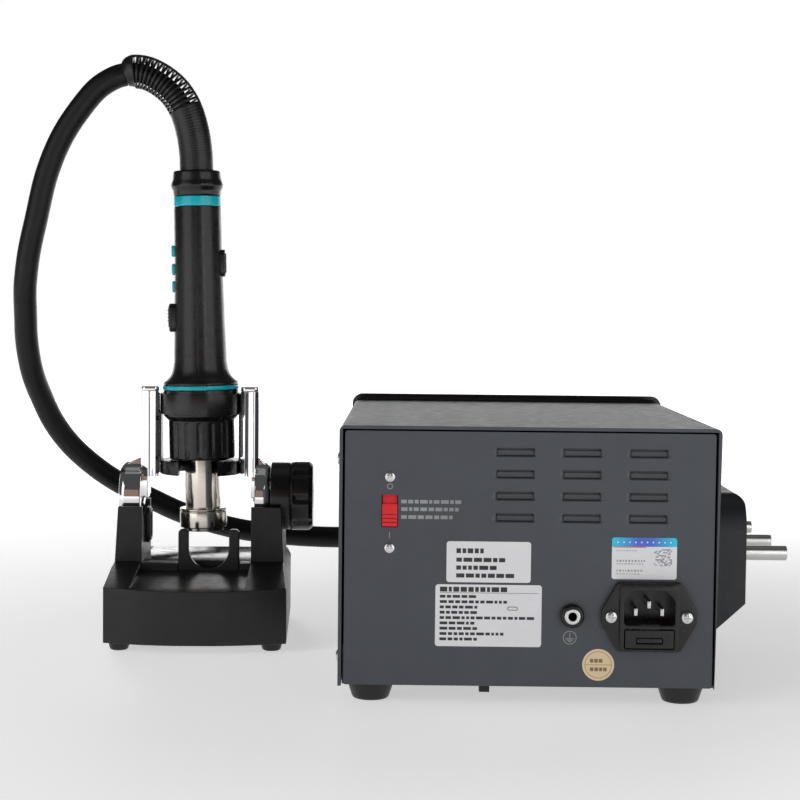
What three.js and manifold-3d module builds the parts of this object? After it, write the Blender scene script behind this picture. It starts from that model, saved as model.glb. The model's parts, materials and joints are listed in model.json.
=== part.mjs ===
// Hot air rework station: a control unit with a blower, and a stand that cradles
// the hot air handpiece. Millimetres, +Z up. -Y is the side with the mains inlet,
// +Y is the side with the controls, and the model's origin is on the bench surface
// below the middle of the object without its hose.

import * as THREE from 'three';
import { mergeVertices } from 'three/addons/utils/BufferGeometryUtils.js';
import Module from 'manifold-3d';

const wasm = await Module();
wasm.setup();

// ---------------------------------------------------------------- driving sizes

const GAP = 0.3;                       // between pieces that touch on the real object

// The station frame has x = 0 in the middle of the case and y = 0 at its rear edge.
const FRAME_X = 50.6;                  // from the middle of the footprint to the case's middle
const FRAME_Y = -139.4;                // from the middle of the footprint to the case's rear

const CASE_HALF = 101;                 // half the cover's width
const CASE_DEPTH = 240;
const CASE_TOP = 148.6;
const CASE_BOTTOM = 9.7;
const SHEET = 1.8;                     // thickness of the cover's sheet
const COVER_CORNER = 3.2;              // outside radius of the cover's top corners
const COVER_SCREW_Y = 12;
const COVER_SCREWS = [{ side: -1, z: 130 }, { side: -1, z: 23.6 }, { side: 1, z: 130 }];

const PANEL_Y = [1, 2.5];              // rear and front faces of the rear panel
const PANEL_HALF = 97.9;
const SLOTS = {                        // cooling slots, from the top left one
  x: -7.8, z: 135.2, columns: 3, rows: 4, pitchX: 35.3, pitchZ: 11.6, halfWidth: 8.5, halfHeight: 1.1,
};
const PAN_Z = [10.3, 11.5];            // the chassis pan's bottom sheet

const BEZEL_FACE = 262;                // y of the bezel's front face
const LIP_Y = 250;                     // y where the bezel's raised lip starts

const INLET_X = 63.8;                  // middle of the mains inlet
const INLET_Z = 48.6;
const INLET_SCREW = 20;                // its screws lie 40 mm apart
const JACK_X = 23.2;
const JACK_Z = 48.7;
const SWITCH_X = -74.05;               // middle of the memory switch
const SWITCH_Z = 103.3;
const SWITCH_SCREWS = [121.4, 83.6];   // heights of its two screws

const RACK_X = [CASE_HALF + GAP, 126];
const RACK_Y = [60, 225];
const RACK_Z = [25, 107];
const RACK_WALL = 3;
const NOZZLE_Z = 72;
const NOZZLES = [                      // y of each stored nozzle, its tube's radius and its tip
  { y: 82, tube: 4.2, tip: 152.8 },
  { y: 134, tube: 3.8, tip: 154.2 },
  { y: 201, tube: 3.8, tip: 155 },
];

const GLAND_X = -74;                   // middle of the hose gland on the front
const GLAND_Z = 45;
const GLAND_END = 284;

const BLOWER = { x: -45, y: 190, radius: 36, top: 58 };
const CASE_FEET = { x: [-83.7, 83.7], y: [18, 222], height: 10 };

// The stand frame has its origin on the bench below the middle of the tilt axis.
const STAND_X = -199.3;
const STAND_Y = 225;
const STAND_TURN = THREE.MathUtils.degToRad(2);
const BASE_Z = [5.4, 46];              // underside and flat top of the base
const BASE_FRONT_Z = 39;               // height of the base's low edge
const BASE_Y = [-91, 45];
const BASE_FRONT_X = [-52.7, 58.3];
const BASE_BULGE = 9.5;                // how far the low edge's face bows out
const POST_GAP = [-36.8, 33];          // between the two posts
const POST_TOP = 81;
const POST_Y = [-27, 27];
const AXIS_Z = 86;                     // height of the tilt axis
const TRUNNION = 22;                   // radius of the cradle's round ends
const SADDLE = 22.5;                   // radius of the hollows that hold them
const CUP_X = -1.5;                    // middle of the cradle's cup
const ARM_INNER = 26.5;                // from the cup's middle to an arm
const ARM_Z = [99, 157.6];
const ARM_FOOT = 33.5;                 // from the cup's middle to the leg below an arm
const FORK_X = 6.4;
const STAND_FEET = { x: [-44, 49], y: [-82, 36] };

// The handpiece leans a little; its own frame has z = 0 at the tilt axis.
const LEAN = THREE.MathUtils.degToRad(1.37);
const HANDPIECE_X = 0.1;

// ---------------------------------------------------------------- solid helpers

function signedVolume(geometry) {
  const p = geometry.attributes.position;
  const index = geometry.index.array;
  const corners = [new THREE.Vector3(), new THREE.Vector3(), new THREE.Vector3()];
  let volume = 0;
  for (let i = 0; i < index.length; i += 3) {
    corners.forEach((corner, k) => corner.fromBufferAttribute(p, index[i + k]));
    volume += corners[0].dot(corners[1].clone().cross(corners[2])) / 6;
  }
  return volume;
}

// Merges shared vertices, drops triangles of no area and turns the faces outwards.
function closed(geometry) {
  const bare = geometry.clone();
  bare.deleteAttribute('normal');
  bare.deleteAttribute('uv');
  const merged = mergeVertices(bare, 1e-4);
  const index = merged.index.array;
  const kept = [];
  for (let i = 0; i < index.length; i += 3) {
    const [a, b, c] = [index[i], index[i + 1], index[i + 2]];
    if (a !== b && b !== c && c !== a) {
      kept.push(a, b, c);
    }
  }
  merged.setIndex(kept);
  if (signedVolume(merged) < 0) {
    for (let i = 0; i < kept.length; i += 3) {
      [kept[i + 1], kept[i + 2]] = [kept[i + 2], kept[i + 1]];
    }
    merged.setIndex(kept);
  }
  return merged;
}

function toManifold(geometry) {
  const clean = closed(geometry);
  return new wasm.Manifold(new wasm.Mesh({
    numProp: 3,
    vertProperties: new Float32Array(clean.attributes.position.array),
    triVerts: new Uint32Array(clean.index.array),
  }));
}

function fromManifold(solid) {
  const mesh = solid.getMesh();
  const geometry = new THREE.BufferGeometry();
  geometry.setAttribute('position', new THREE.BufferAttribute(mesh.vertProperties, 3));
  geometry.setIndex(new THREE.BufferAttribute(mesh.triVerts, 1));
  return geometry;
}

function combine(method, first, others) {
  let solid = toManifold(first);
  for (const other of others) {
    solid = solid[method](toManifold(other));
  }
  return fromManifold(solid);
}

const join = (first, ...others) => combine('add', first, others);
const cut = (first, ...others) => combine('subtract', first, others);
const common = (first, ...others) => combine('intersect', first, others);

function block([x0, x1], [y0, y1], [z0, z1]) {
  const geometry = new THREE.BoxGeometry(x1 - x0, y1 - y0, z1 - z0);
  return geometry.translate((x0 + x1) / 2, (y0 + y1) / 2, (z0 + z1) / 2);
}

const span = (middle, half) => [middle - half, middle + half];

function extrude(shape, depth, segments) {
  return new THREE.ExtrudeGeometry(shape, { depth, bevelEnabled: false, curveSegments: segments });
}

// A shape drawn in x and z, extruded along y.
function prismY(shape, [y0, y1], segments = 5) {
  const axes = new THREE.Matrix4().makeBasis(
    new THREE.Vector3(1, 0, 0), new THREE.Vector3(0, 0, 1), new THREE.Vector3(0, -1, 0));
  return extrude(shape, y1 - y0, segments).applyMatrix4(axes).translate(0, y1, 0);
}

// A shape drawn in y and z, extruded along x.
function prismX(shape, [x0, x1], segments = 5) {
  const axes = new THREE.Matrix4().makeBasis(
    new THREE.Vector3(0, 1, 0), new THREE.Vector3(0, 0, 1), new THREE.Vector3(1, 0, 0));
  return extrude(shape, x1 - x0, segments).applyMatrix4(axes).translate(x0, 0, 0);
}

// A shape drawn in x and y, extruded along z.
function prismZ(shape, [z0, z1], segments = 5) {
  return extrude(shape, z1 - z0, segments).translate(0, 0, z0);
}

function outline(points) {
  return new THREE.Shape(points.map(([u, v]) => new THREE.Vector2(u, v)));
}

function roundedRect([u0, u1], [v0, v1], radius) {
  const shape = new THREE.Shape();
  const right = Math.PI / 2;
  shape.absarc(u1 - radius, v0 + radius, radius, -right, 0);
  shape.absarc(u1 - radius, v1 - radius, radius, 0, right);
  shape.absarc(u0 + radius, v1 - radius, radius, right, 2 * right);
  shape.absarc(u0 + radius, v0 + radius, radius, 2 * right, 3 * right);
  shape.closePath();
  return shape;
}

// A profile of [radius, height] points turned about an axis.
function turnY(profile, segments = 20) {
  return new THREE.LatheGeometry(profile.map(([r, h]) => new THREE.Vector2(r, h)), segments);
}
const turnZ = (profile, segments) => turnY(profile, segments).rotateX(Math.PI / 2);
const turnX = (profile, segments) => turnY(profile, segments).rotateZ(-Math.PI / 2);

// A closed ring profile repeats its first point.
const ring = (profile) => [...profile, profile[0]];

function rodY(x, z, radius, [y0, y1], segments = 16) {
  return turnY([[0, y0], [radius, y0], [radius, y1], [0, y1]], segments).translate(x, 0, z);
}

function rodX(y, z, radius, [x0, x1], segments = 20) {
  return turnX([[0, x0], [radius, x0], [radius, x1], [0, x1]], segments).translate(0, y, z);
}

function tube(points, radius, steps, sides) {
  const curve = new THREE.CatmullRomCurve3(points.map((p) => new THREE.Vector3(...p)), false, 'centripetal');
  const section = new THREE.Shape();
  for (let i = 0; i < sides; i += 1) {
    const angle = (2 * Math.PI * i) / sides;
    const move = i === 0 ? 'moveTo' : 'lineTo';
    section[move](radius * Math.cos(angle), radius * Math.sin(angle));
  }
  section.closePath();
  return new THREE.ExtrudeGeometry(section, { steps, extrudePath: curve, bevelEnabled: false });
}

// ---------------------------------------------------------------- materials

const FINISHES = {
  powderCoat: { color: 0x4c535a, roughness: 0.55, metalness: 0.2 },
  blackPlastic: { color: 0x121314, roughness: 0.35, metalness: 0 },
  glossBlack: { color: 0x0b0c0d, roughness: 0.15, metalness: 0 },
  blackPaint: { color: 0x2d2e30, roughness: 0.5, metalness: 0.1 },
  chrome: { color: 0xd8dadc, roughness: 0.08, metalness: 1 },
  steel: { color: 0xb4b0a8, roughness: 0.25, metalness: 1 },
  screwSteel: { color: 0xc4c6c8, roughness: 0.3, metalness: 1 },
  rubber: { color: 0x141414, roughness: 0.8, metalness: 0 },
  cyanPlastic: { color: 0x14a0aa, roughness: 0.35, metalness: 0 },
  redPlastic: { color: 0xeb2d37, roughness: 0.4, metalness: 0 },
  displayGlass: { color: 0x0a1018, roughness: 0.05, metalness: 0 },
  ceramic: { color: 0xd9d2c2, roughness: 0.8, metalness: 0 },
  circuitBoard: { color: 0x1c5a38, roughness: 0.6, metalness: 0 },
};

function piece(parent, name, geometry, finish) {
  const mesh = new THREE.Mesh(closed(geometry), new THREE.MeshStandardMaterial(FINISHES[finish]));
  mesh.name = name;
  parent.add(mesh);
  return mesh;
}

// ---------------------------------------------------------------- control unit

function caseCover() {
  const inner = CASE_HALF - SHEET;
  const roof = CASE_TOP - SHEET;
  const corner = COVER_CORNER;
  const shape = new THREE.Shape();
  shape.moveTo(CASE_HALF, CASE_BOTTOM);
  shape.absarc(CASE_HALF - corner, CASE_TOP - corner, corner, 0, Math.PI / 2);
  shape.absarc(corner - CASE_HALF, CASE_TOP - corner, corner, Math.PI / 2, Math.PI);
  shape.lineTo(-CASE_HALF, CASE_BOTTOM);
  shape.lineTo(-inner, CASE_BOTTOM);
  shape.lineTo(-inner, roof);
  shape.lineTo(inner, roof);
  shape.lineTo(inner, CASE_BOTTOM);
  shape.closePath();
  const holes = COVER_SCREWS.map(({ side, z }) => {
    const reach = side < 0 ? [-CASE_HALF - 2, 5 - CASE_HALF] : [CASE_HALF - 5, CASE_HALF + 2];
    return rodX(COVER_SCREW_Y, z, 1.6, reach, 12);
  });
  return cut(prismY(shape, [0, CASE_DEPTH]), ...holes);
}

function chassisPan() {
  const half = CASE_HALF - SHEET - 0.5;
  const flange = 1.2;
  const flangeTop = 32;
  const shape = outline([
    [-half, PAN_Z[0]], [half, PAN_Z[0]], [half, flangeTop], [half - flange, flangeTop],
    [half - flange, PAN_Z[1]], [flange - half, PAN_Z[1]], [flange - half, flangeTop], [-half, flangeTop],
  ]);
  const sheet = prismY(shape, [PANEL_Y[1] + GAP, CASE_DEPTH - 2]);
  const lug = block(span(-22.6, 2.8), [8, 14], [5.5, PAN_Z[0] + 0.5]);
  return join(sheet, lug);
}

function rearPanel() {
  const plate = block(span(0, PANEL_HALF), PANEL_Y, [PAN_Z[0], CASE_TOP - SHEET - 1]);
  const through = [PANEL_Y[0] - 1, PANEL_Y[1] + 1];
  const holes = [
    block(span(INLET_X, 15.4), through, span(INLET_Z, 18)),
    rodY(JACK_X, JACK_Z, 5.2, through),
    block(span(SWITCH_X, 4.45), through, span(SWITCH_Z, 8.7)),
    ...SWITCH_SCREWS.map((z) => rodY(SWITCH_X, z, 1.5, through, 12)),
  ];
  for (let column = 0; column < SLOTS.columns; column += 1) {
    for (let row = 0; row < SLOTS.rows; row += 1) {
      const x = SLOTS.x + column * SLOTS.pitchX;
      const z = SLOTS.z - row * SLOTS.pitchZ;
      holes.push(block(span(x, SLOTS.halfWidth), through, span(z, SLOTS.halfHeight)));
    }
  }
  return cut(plate, ...holes);
}

const DISPLAY_X = [-78, 32];
const DISPLAY_Z = [88, 138];
const ROCKER = { x: 77, y: 256, z: 51, half: 6.4, tilt: THREE.MathUtils.degToRad(6) };
const KNOBS = [
  { name: 'temperature_knob', x: -20, z: 55 },
  { name: 'airflow_knob', x: 30, z: 55 },
];

function frontBezel() {
  const shelf = prismY(roundedRect(span(0, 101.2), [8.8, 149.8], 5), [CASE_DEPTH + 0.4, LIP_Y + 0.5]);
  const hollow = block(span(0, 97), [CASE_DEPTH, LIP_Y], [13, 145]);
  const lip = prismY(roundedRect(span(0, 102.7), [7, 152.6], 7), [LIP_Y, BEZEL_FACE]);
  const through = [LIP_Y - 1, BEZEL_FACE + 1];
  const holes = [
    block([DISPLAY_X[0] - GAP, DISPLAY_X[1] + GAP], [BEZEL_FACE - 2, BEZEL_FACE + 1],
      [DISPLAY_Z[0] - GAP, DISPLAY_Z[1] + GAP]),
    ...KNOBS.map(({ x, z }) => rodY(x, z, 3.4, through)),
    block(span(ROCKER.x, ROCKER.half + 0.6), through, span(ROCKER.z, 11)),
    rodY(GLAND_X, GLAND_Z, 8.4, through, 24),
  ];
  return cut(join(cut(shelf, hollow), lip), ...holes);
}

function frontKnob(x, z) {
  const face = BEZEL_FACE;
  const profile = [
    [0, face - 11], [3, face - 11], [3, face + 0.5], [11.5, face + 0.5], [11.5, face + 4],
    [10.2, face + 5], [9.6, face + 15], [8.8, face + 16], [0, face + 16],
  ];
  return turnY(profile, 20).translate(x, 0, z);
}

// A rocker pivots behind its face; at rest its lower end is pressed in.
function powerRocker() {
  const shape = outline([
    [-5, -6], [3, -10], [6.5, -10], [4.7, 0], [6.5, 10], [3, 10], [-5, 6],
  ]);
  const { x, y, z, half, tilt } = ROCKER;
  return prismX(shape, [-half, half]).rotateX(-tilt).translate(x, y, z);
}

function hoseGland() {
  const bore = 4.5;
  const profile = ring([
    [bore, 246], [8, 246], [8, BEZEL_FACE + GAP], [15, BEZEL_FACE + GAP], [15, 266],
    [12.5, 266.4], [12.5, 274], [9.6, 274.6], [8.2, GLAND_END], [bore, GLAND_END],
  ]);
  return turnY(profile, 20).translate(GLAND_X, 0, GLAND_Z);
}

const SOCKET = { half: 13.5, z: [-3.9, 14.3], chamfer: 4 };
const PINS = [[0, 6.5], [-7, 2.5], [7, 2.5]];
const DRAWER_Z = [-16.2, -6.5];        // below the middle of the inlet
const INLET_FACE = -4;                 // front of the inlet's raised middle
const EAR_FACE = -1.9;                 // front of its ears, where the screws seat

function mainsInlet() {
  const earEnd = 25.2;
  const flange = outline([
    [-16.7, -18.5], [16.7, -18.5], [earEnd, -3.5], [earEnd, 3.5],
    [16.7, 18.5], [-16.7, 18.5], [-earEnd, 3.5], [-earEnd, -3.5],
  ]);
  const { half, chamfer } = SOCKET;
  const [low, high] = SOCKET.z;
  const mouth = outline([
    [-half, low], [half, low], [half, high - chamfer], [half - chamfer, high],
    [chamfer - half, high], [-half, high - chamfer],
  ]);
  const solid = cut(
    join(
      prismY(flange, [EAR_FACE, 0.7]),
      prismY(roundedRect(span(0, 15.7), span(0, 18.2), 3), [INLET_FACE, 0], 4),
      block(span(0, 15.1), [0.5, 24], span(0, 17.7)),
    ),
    prismY(mouth, [INLET_FACE - 1, 14]),
    block(span(0, 13.1), [INLET_FACE - 1, 19], [DRAWER_Z[0] - GAP, DRAWER_Z[1] + GAP]),
    ...[-1, 1].map((side) => rodY(side * INLET_SCREW, 0, 1.6, [INLET_FACE - 1, 2], 12)),
  );
  const pins = PINS.map(([x, z]) => block(span(x, 1), [-1, 15], span(z, 2)));
  return join(solid, ...pins).translate(INLET_X, 0, INLET_Z);
}

function fuseDrawer() {
  const body = block(span(0, 12.8), [INLET_FACE - 0.4, 17], DRAWER_Z);
  const middle = (DRAWER_Z[0] + DRAWER_Z[1]) / 2;
  const pocket = block(span(0, 10.5), [3, 15], [middle - 3, DRAWER_Z[1] + 1]);
  return cut(body, pocket).translate(INLET_X, 0, INLET_Z);
}

// A domed screw whose head stands on the plane y = 0 and whose shank goes in along +y.
function screw(head, height, shank, length) {
  return turnY([
    [0, -height], [head * 0.55, -height * 0.92], [head * 0.88, -height * 0.6], [head, 0],
    [shank, 0], [shank, length], [0, length],
  ], 12);
}

function groundJack() {
  const bore = 2.05;
  return turnY(ring([
    [bore, -3], [5.2, -3], [6.35, -1.8], [6.35, 0.7], [4.9, 0.7], [4.9, 16], [bore, 16],
  ]), 16).translate(JACK_X, 0, JACK_Z);
}

function memorySwitchFrame() {
  const body = block(span(SWITCH_X, 7), [PANEL_Y[1] + GAP, 13], [79.5, 125.5]);
  const channel = block(span(SWITCH_X, 4.1), [PANEL_Y[1] - 1, 8], [89.4, 117.8]);
  const shanks = SWITCH_SCREWS.map((z) => rodY(SWITCH_X, z, 1.5, [PANEL_Y[1] - 1, 14], 12));
  return cut(body, channel, ...shanks);
}

function memorySlider() {
  const plate = block(span(SWITCH_X, 3.8), [3, 7], [89.8, 112.6]);
  const grip = block(span(SWITCH_X, 3.4), [-0.4, 3.5], [95.4, 101.4]);
  const grooves = [97.2, 99.4].map((z) => block(span(SWITCH_X, 4), [-1, 0.5], span(z, 0.5)));
  return cut(join(plate, grip), ...grooves);
}

function rackShell(inset, x) {
  const [y0, y1] = [RACK_Y[0] + inset, RACK_Y[1] - inset];
  const [z0, z1] = [RACK_Z[0] + inset, RACK_Z[1] - inset];
  const side = prismX(roundedRect([y0, y1], [z0 - 10, z1], 20 - inset), x, 6);
  const edge = RACK_X[1] - inset * 0.2;
  const corner = 6;
  const shape = new THREE.Shape();
  shape.moveTo(RACK_X[0] - 5, z0 - 4);
  shape.lineTo(RACK_X[0] + 5, z0 + 3);
  shape.lineTo(edge, z0 + 21);
  shape.absarc(edge - corner, z1 - corner, corner, 0, Math.PI / 2);
  shape.lineTo(RACK_X[0] - 5, z1);
  shape.closePath();
  return common(side, prismY(shape, [y0 - 5, y1 + 5], 4));
}

function nozzleRack() {
  const cavityX = [RACK_X[0] + RACK_WALL, RACK_X[1] + 5];
  const cavity = join(
    rackShell(RACK_WALL, [cavityX[0], RACK_X[1] + 1]),
    prismX(roundedRect([RACK_Y[0] + 6, RACK_Y[1] - 6], [RACK_Z[0] + 27, RACK_Z[1] - 9], 12),
      [RACK_X[1] - 8, cavityX[1]], 6),
  );
  const pegs = NOZZLES.map(({ y }) => rodX(y, NOZZLE_Z, 6.4, [RACK_X[0] + 1, 113], 16));
  return join(cut(rackShell(0, RACK_X), cavity), ...pegs);
}

function nozzle(y, radius, tip) {
  const foot = RACK_X[0] + RACK_WALL + 0.7;
  const bore = radius - 1;
  return turnX(ring([
    [7, foot], [13, foot], [13, 115], [11, 117], [radius, 124.5], [radius, tip],
    [bore, tip], [bore, 124], [7, 115],
  ]), 16).translate(0, y, NOZZLE_Z);
}

function foot(topRadius, bottomRadius, top) {
  return turnZ([[0, 0], [bottomRadius - 1, 0], [bottomRadius, 1], [topRadius, top], [0, top]], 16);
}

function blowerHousing() {
  const { x, y, radius, top } = BLOWER;
  const floor = 14.4;
  const wall = 2.5;
  const drum = turnZ([[0, 11.8], [radius, 11.8], [radius, top], [0, top]], 32).translate(x, y, 0);
  const hollow = turnZ([[0, floor], [radius - wall, floor], [radius - wall, top - 2], [0, top - 2]], 32);
  const inlet = turnZ([[0, top - 5], [16, top - 5], [16, top + 5], [0, top + 5]], 24);
  const spout = rodY(GLAND_X, GLAND_Z, 8.5, [y, 245.7], 20);
  const duct = rodY(GLAND_X, GLAND_Z, 6, [y, 247], 20);
  return cut(join(drum, spout), hollow.translate(x, y, 0), inlet.translate(x, y, 0), duct);
}

function blowerImpeller() {
  const { x, y, radius } = BLOWER;
  const reach = radius - 6;
  const hub = turnZ([[0, 17], [8, 17], [8, 48], [0, 48]], 16);
  const disc = turnZ([[0, 17], [reach, 17], [reach, 18.6], [0, 18.6]], 24);
  const vanes = [];
  for (let i = 0; i < 8; i += 1) {
    const vane = block([6, reach], [-0.8, 0.8], [18, 40]);
    vanes.push(vane.rotateZ((i * Math.PI) / 4));
  }
  return join(hub, disc, ...vanes).translate(x, y, 0);
}

function controlBoard() {
  const board = block([12, 90], [50, 210], [19, 20.6]);
  const parts = [
    block([20, 58], [70, 112], [20, 54]),
    block([66, 84], [120, 160], [20, 48]),
    rodZ(30, 150, 9, [20, 46]),
    rodZ(30, 175, 9, [20, 46]),
  ];
  for (const x of [17, 85]) {
    for (const y of [56, 204]) {
      parts.push(rodZ(x, y, 3, [PAN_Z[1] + GAP, 20]));
    }
  }
  return join(board, ...parts);
}

function rodZ(x, y, radius, [z0, z1], segments = 16) {
  return turnZ([[0, z0], [radius, z0], [radius, z1], [0, z1]], segments).translate(x, y, 0);
}

function buildStation(station) {
  piece(station, 'case_cover', caseCover(), 'powderCoat');
  piece(station, 'chassis_pan', chassisPan(), 'blackPaint');
  piece(station, 'rear_panel', rearPanel(), 'powderCoat');
  piece(station, 'front_bezel', frontBezel(), 'glossBlack');
  const glass = block(DISPLAY_X, [BEZEL_FACE - 1.7, BEZEL_FACE], DISPLAY_Z);
  piece(station, 'display_window', glass, 'displayGlass');
  for (const { name, x, z } of KNOBS) {
    piece(station, name, frontKnob(x, z), 'blackPlastic');
  }
  piece(station, 'power_rocker', powerRocker(), 'blackPlastic');
  piece(station, 'hose_gland', hoseGland(), 'blackPlastic');

  piece(station, 'iec_inlet', mainsInlet(), 'blackPlastic');
  piece(station, 'fuse_drawer', fuseDrawer(), 'blackPlastic');
  for (const side of [-1, 1]) {
    const inletScrew = screw(3.2, 1.6, 1.3, 2.2).translate(
      INLET_X + side * INLET_SCREW, EAR_FACE - GAP, INLET_Z);
    piece(station, side < 0 ? 'inlet_screw_left' : 'inlet_screw_right', inletScrew, 'screwSteel');
  }
  piece(station, 'ground_jack', groundJack(), 'blackPlastic');
  piece(station, 'memory_switch_frame', memorySwitchFrame(), 'blackPlastic');
  piece(station, 'memory_slider', memorySlider(), 'redPlastic');
  SWITCH_SCREWS.forEach((z, i) => {
    const switchScrew = screw(2.75, 1.2, 1.2, 8).translate(SWITCH_X, PANEL_Y[0] - GAP, z);
    piece(station, `switch_screw_${i + 1}`, switchScrew, 'screwSteel');
  });

  COVER_SCREWS.forEach(({ side, z }, i) => {
    const coverScrew = screw(3.3, 1.5, 1.2, 2.2).rotateZ((side * Math.PI) / 2);
    coverScrew.translate(side * (CASE_HALF + GAP), COVER_SCREW_Y, z);
    piece(station, `cover_screw_${i + 1}`, coverScrew, 'screwSteel');
  });

  piece(station, 'nozzle_rack', nozzleRack(), 'blackPlastic');
  NOZZLES.forEach(({ y, tube: radius, tip }, i) => {
    piece(station, `stored_nozzle_${i + 1}`, nozzle(y, radius, tip), 'steel');
  });

  let footNumber = 0;
  for (const y of CASE_FEET.y) {
    for (const x of CASE_FEET.x) {
      footNumber += 1;
      piece(station, `case_foot_${footNumber}`, foot(13, 10, CASE_FEET.height).translate(x, y, 0), 'rubber');
    }
  }

  piece(station, 'blower_housing', blowerHousing(), 'blackPlastic');
  piece(station, 'blower_impeller', blowerImpeller(), 'blackPlastic');
  piece(station, 'control_board', controlBoard(), 'circuitBoard');
}

// ---------------------------------------------------------------- stand

// The base is a little askew: its front is set over to the right of its back.
function basePlan() {
  const [front, back] = BASE_Y;
  const [left, right] = BASE_FRONT_X;
  const bow = new THREE.QuadraticBezierCurve(
    new THREE.Vector2(left, front),
    new THREE.Vector2((left + right) / 2, front - 2 * BASE_BULGE),
    new THREE.Vector2(right, front),
  );
  const shape = new THREE.Shape(bow.getPoints(10));
  shape.lineTo(56.5, back - 3);
  shape.lineTo(53.5, back);
  shape.lineTo(-53.5, back);
  shape.lineTo(-56.5, back - 3);
  shape.closePath();
  return shape;
}

function standBase() {
  const [bottom, top] = BASE_Z;
  const low = BASE_Y[0] - BASE_BULGE;
  const faceEdge = BASE_Y[0] - 4;
  const wedge = prismX(outline([
    [low - 1, bottom], [BASE_Y[1], bottom], [BASE_Y[1], top], [-28, top], [faceEdge, BASE_FRONT_Z],
    [low - 1, BASE_FRONT_Z - 1],
  ]), [-60, 60]);
  const posts = block([-60, 60], POST_Y, [bottom, POST_TOP]);
  const frontView = prismY(outline([
    [-55.5, bottom], [58.6, bottom], [58, BASE_FRONT_Z], [54, top], [52, POST_TOP], [POST_GAP[1], POST_TOP],
    [POST_GAP[1], top], [POST_GAP[0], top], [POST_GAP[0], POST_TOP], [-52, POST_TOP], [-54, top],
  ]), [-100, 60]);
  const solid = common(join(wedge, posts), frontView, prismZ(basePlan(), [0, 100]));
  const forkPocket = block(span(FORK_X, 19.7), [-32.3, -23], [BASE_FRONT_Z - 0.8, 60]);
  const recess = prismX(outline([
    [faceEdge + 3, BASE_FRONT_Z - 0.8], [-32.3, BASE_FRONT_Z + 2.2], [-32.3, 60], [faceEdge + 3, 60],
  ]), POST_GAP);
  const hollow = block([-38, 38], [-74, 28], [bottom - 1, 30]);
  const saddles = [-1, 1].map((side) => rodX(0, AXIS_Z, SADDLE, side < 0 ? [-70, -30] : [30, 70], 48));
  return cut(solid, forkPocket, recess, hollow, ...saddles);
}

function nozzleFork() {
  const throat = 12.9;
  const half = 19.4;
  const shape = new THREE.Shape();
  const prongTop = 67.3;
  const arcZ = 55.2;
  shape.moveTo(-half, BASE_FRONT_Z - 0.5);
  shape.lineTo(half, BASE_FRONT_Z - 0.5);
  shape.lineTo(half, prongTop - 1.5);
  shape.lineTo(half - 1.5, prongTop);
  shape.lineTo(throat + 1, prongTop);
  shape.lineTo(throat, prongTop - 1);
  shape.absarc(0, arcZ, throat, 0, Math.PI, true);
  shape.lineTo(-throat, prongTop - 1);
  shape.lineTo(-throat - 1, prongTop);
  shape.lineTo(1.5 - half, prongTop);
  shape.lineTo(-half, prongTop - 1.5);
  shape.closePath();
  return prismY(shape, [-32, -26.5], 16).translate(FORK_X, 0, 0);
}

function stopPad() {
  const shape = roundedRect(span(0, 8), [55.2, 78.2], 3);
  return prismX(shape, [POST_GAP[0] + GAP, POST_GAP[0] + 3.4]);
}

function cradleArm(side) {
  const bar = roundedRect([ARM_INNER, ARM_INNER + 11.6], span(0, 11), 3.5);
  const inner = side < 0 ? 38.6 + CUP_X : 34.6 - CUP_X;
  const outer = side < 0 ? 52.6 + CUP_X : 44.3 - CUP_X;
  const disc = turnX([
    [0, inner], [TRUNNION, inner], [TRUNNION, outer - 3], [TRUNNION - 2.2, outer], [0, outer],
  ], 32).translate(0, 0, AXIS_Z);
  const foot = block([ARM_FOOT, inner + 2], span(0, 9), [AXIS_Z - 1, ARM_Z[0] + 2]);
  const bore = rodX(0, AXIS_Z, 4.4, [20, 60], 16);
  const shoulder = prismY(outline([
    [ARM_INNER + 6, AXIS_Z + 16], [ARM_INNER + 6, AXIS_Z + 25.4], [ARM_INNER + 12, AXIS_Z + 25.4],
    [outer - 2.4, AXIS_Z + 20.8], [outer - 2.4, AXIS_Z + 16],
  ]), span(0, 7));
  const arm = cut(join(prismZ(bar, ARM_Z, 4), disc, foot, shoulder), bore);
  return arm.rotateZ(side < 0 ? Math.PI : 0).translate(CUP_X, 0, 0);
}

function cradleCup() {
  const outer = ARM_INNER - GAP;
  const floorRing = turnZ(ring([[17, 100.5], [outer, 100.5], [outer, 109.5], [17, 109.5]]), 32);
  const collarRing = turnZ(ring([[25.1, 139.5], [outer, 139.5], [outer, 153], [25.1, 153]]), 32);
  const legs = [-1, 1].map((side) => {
    const reach = [side * (outer - 1.3), side * (outer - 0.1)].sort((a, b) => a - b);
    return block(reach, span(0, 7), [108, 141]);
  });
  const opening = block(span(0, 12.5), [-30, 0], [100, 110]);
  return cut(join(floorRing, collarRing, ...legs), opening).translate(CUP_X, 0, 0);
}

function clampKnob() {
  const hub = turnX([
    [0, 33], [4, 33], [4, 44.8], [TRUNNION, 44.8], [TRUNNION, 57.6], [22.4, 57.9],
    [22.4, 69.6], [20.4, 72.1], [0, 72.1],
  ], 36);
  const flutes = [];
  for (let i = 0; i < 8; i += 1) {
    const flute = rodX(26.2, 0, 5.2, [59.5, 74], 12);
    flutes.push(flute.rotateX((i * Math.PI) / 4));
  }
  return cut(hub, ...flutes).translate(0, 0, AXIS_Z);
}

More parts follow.
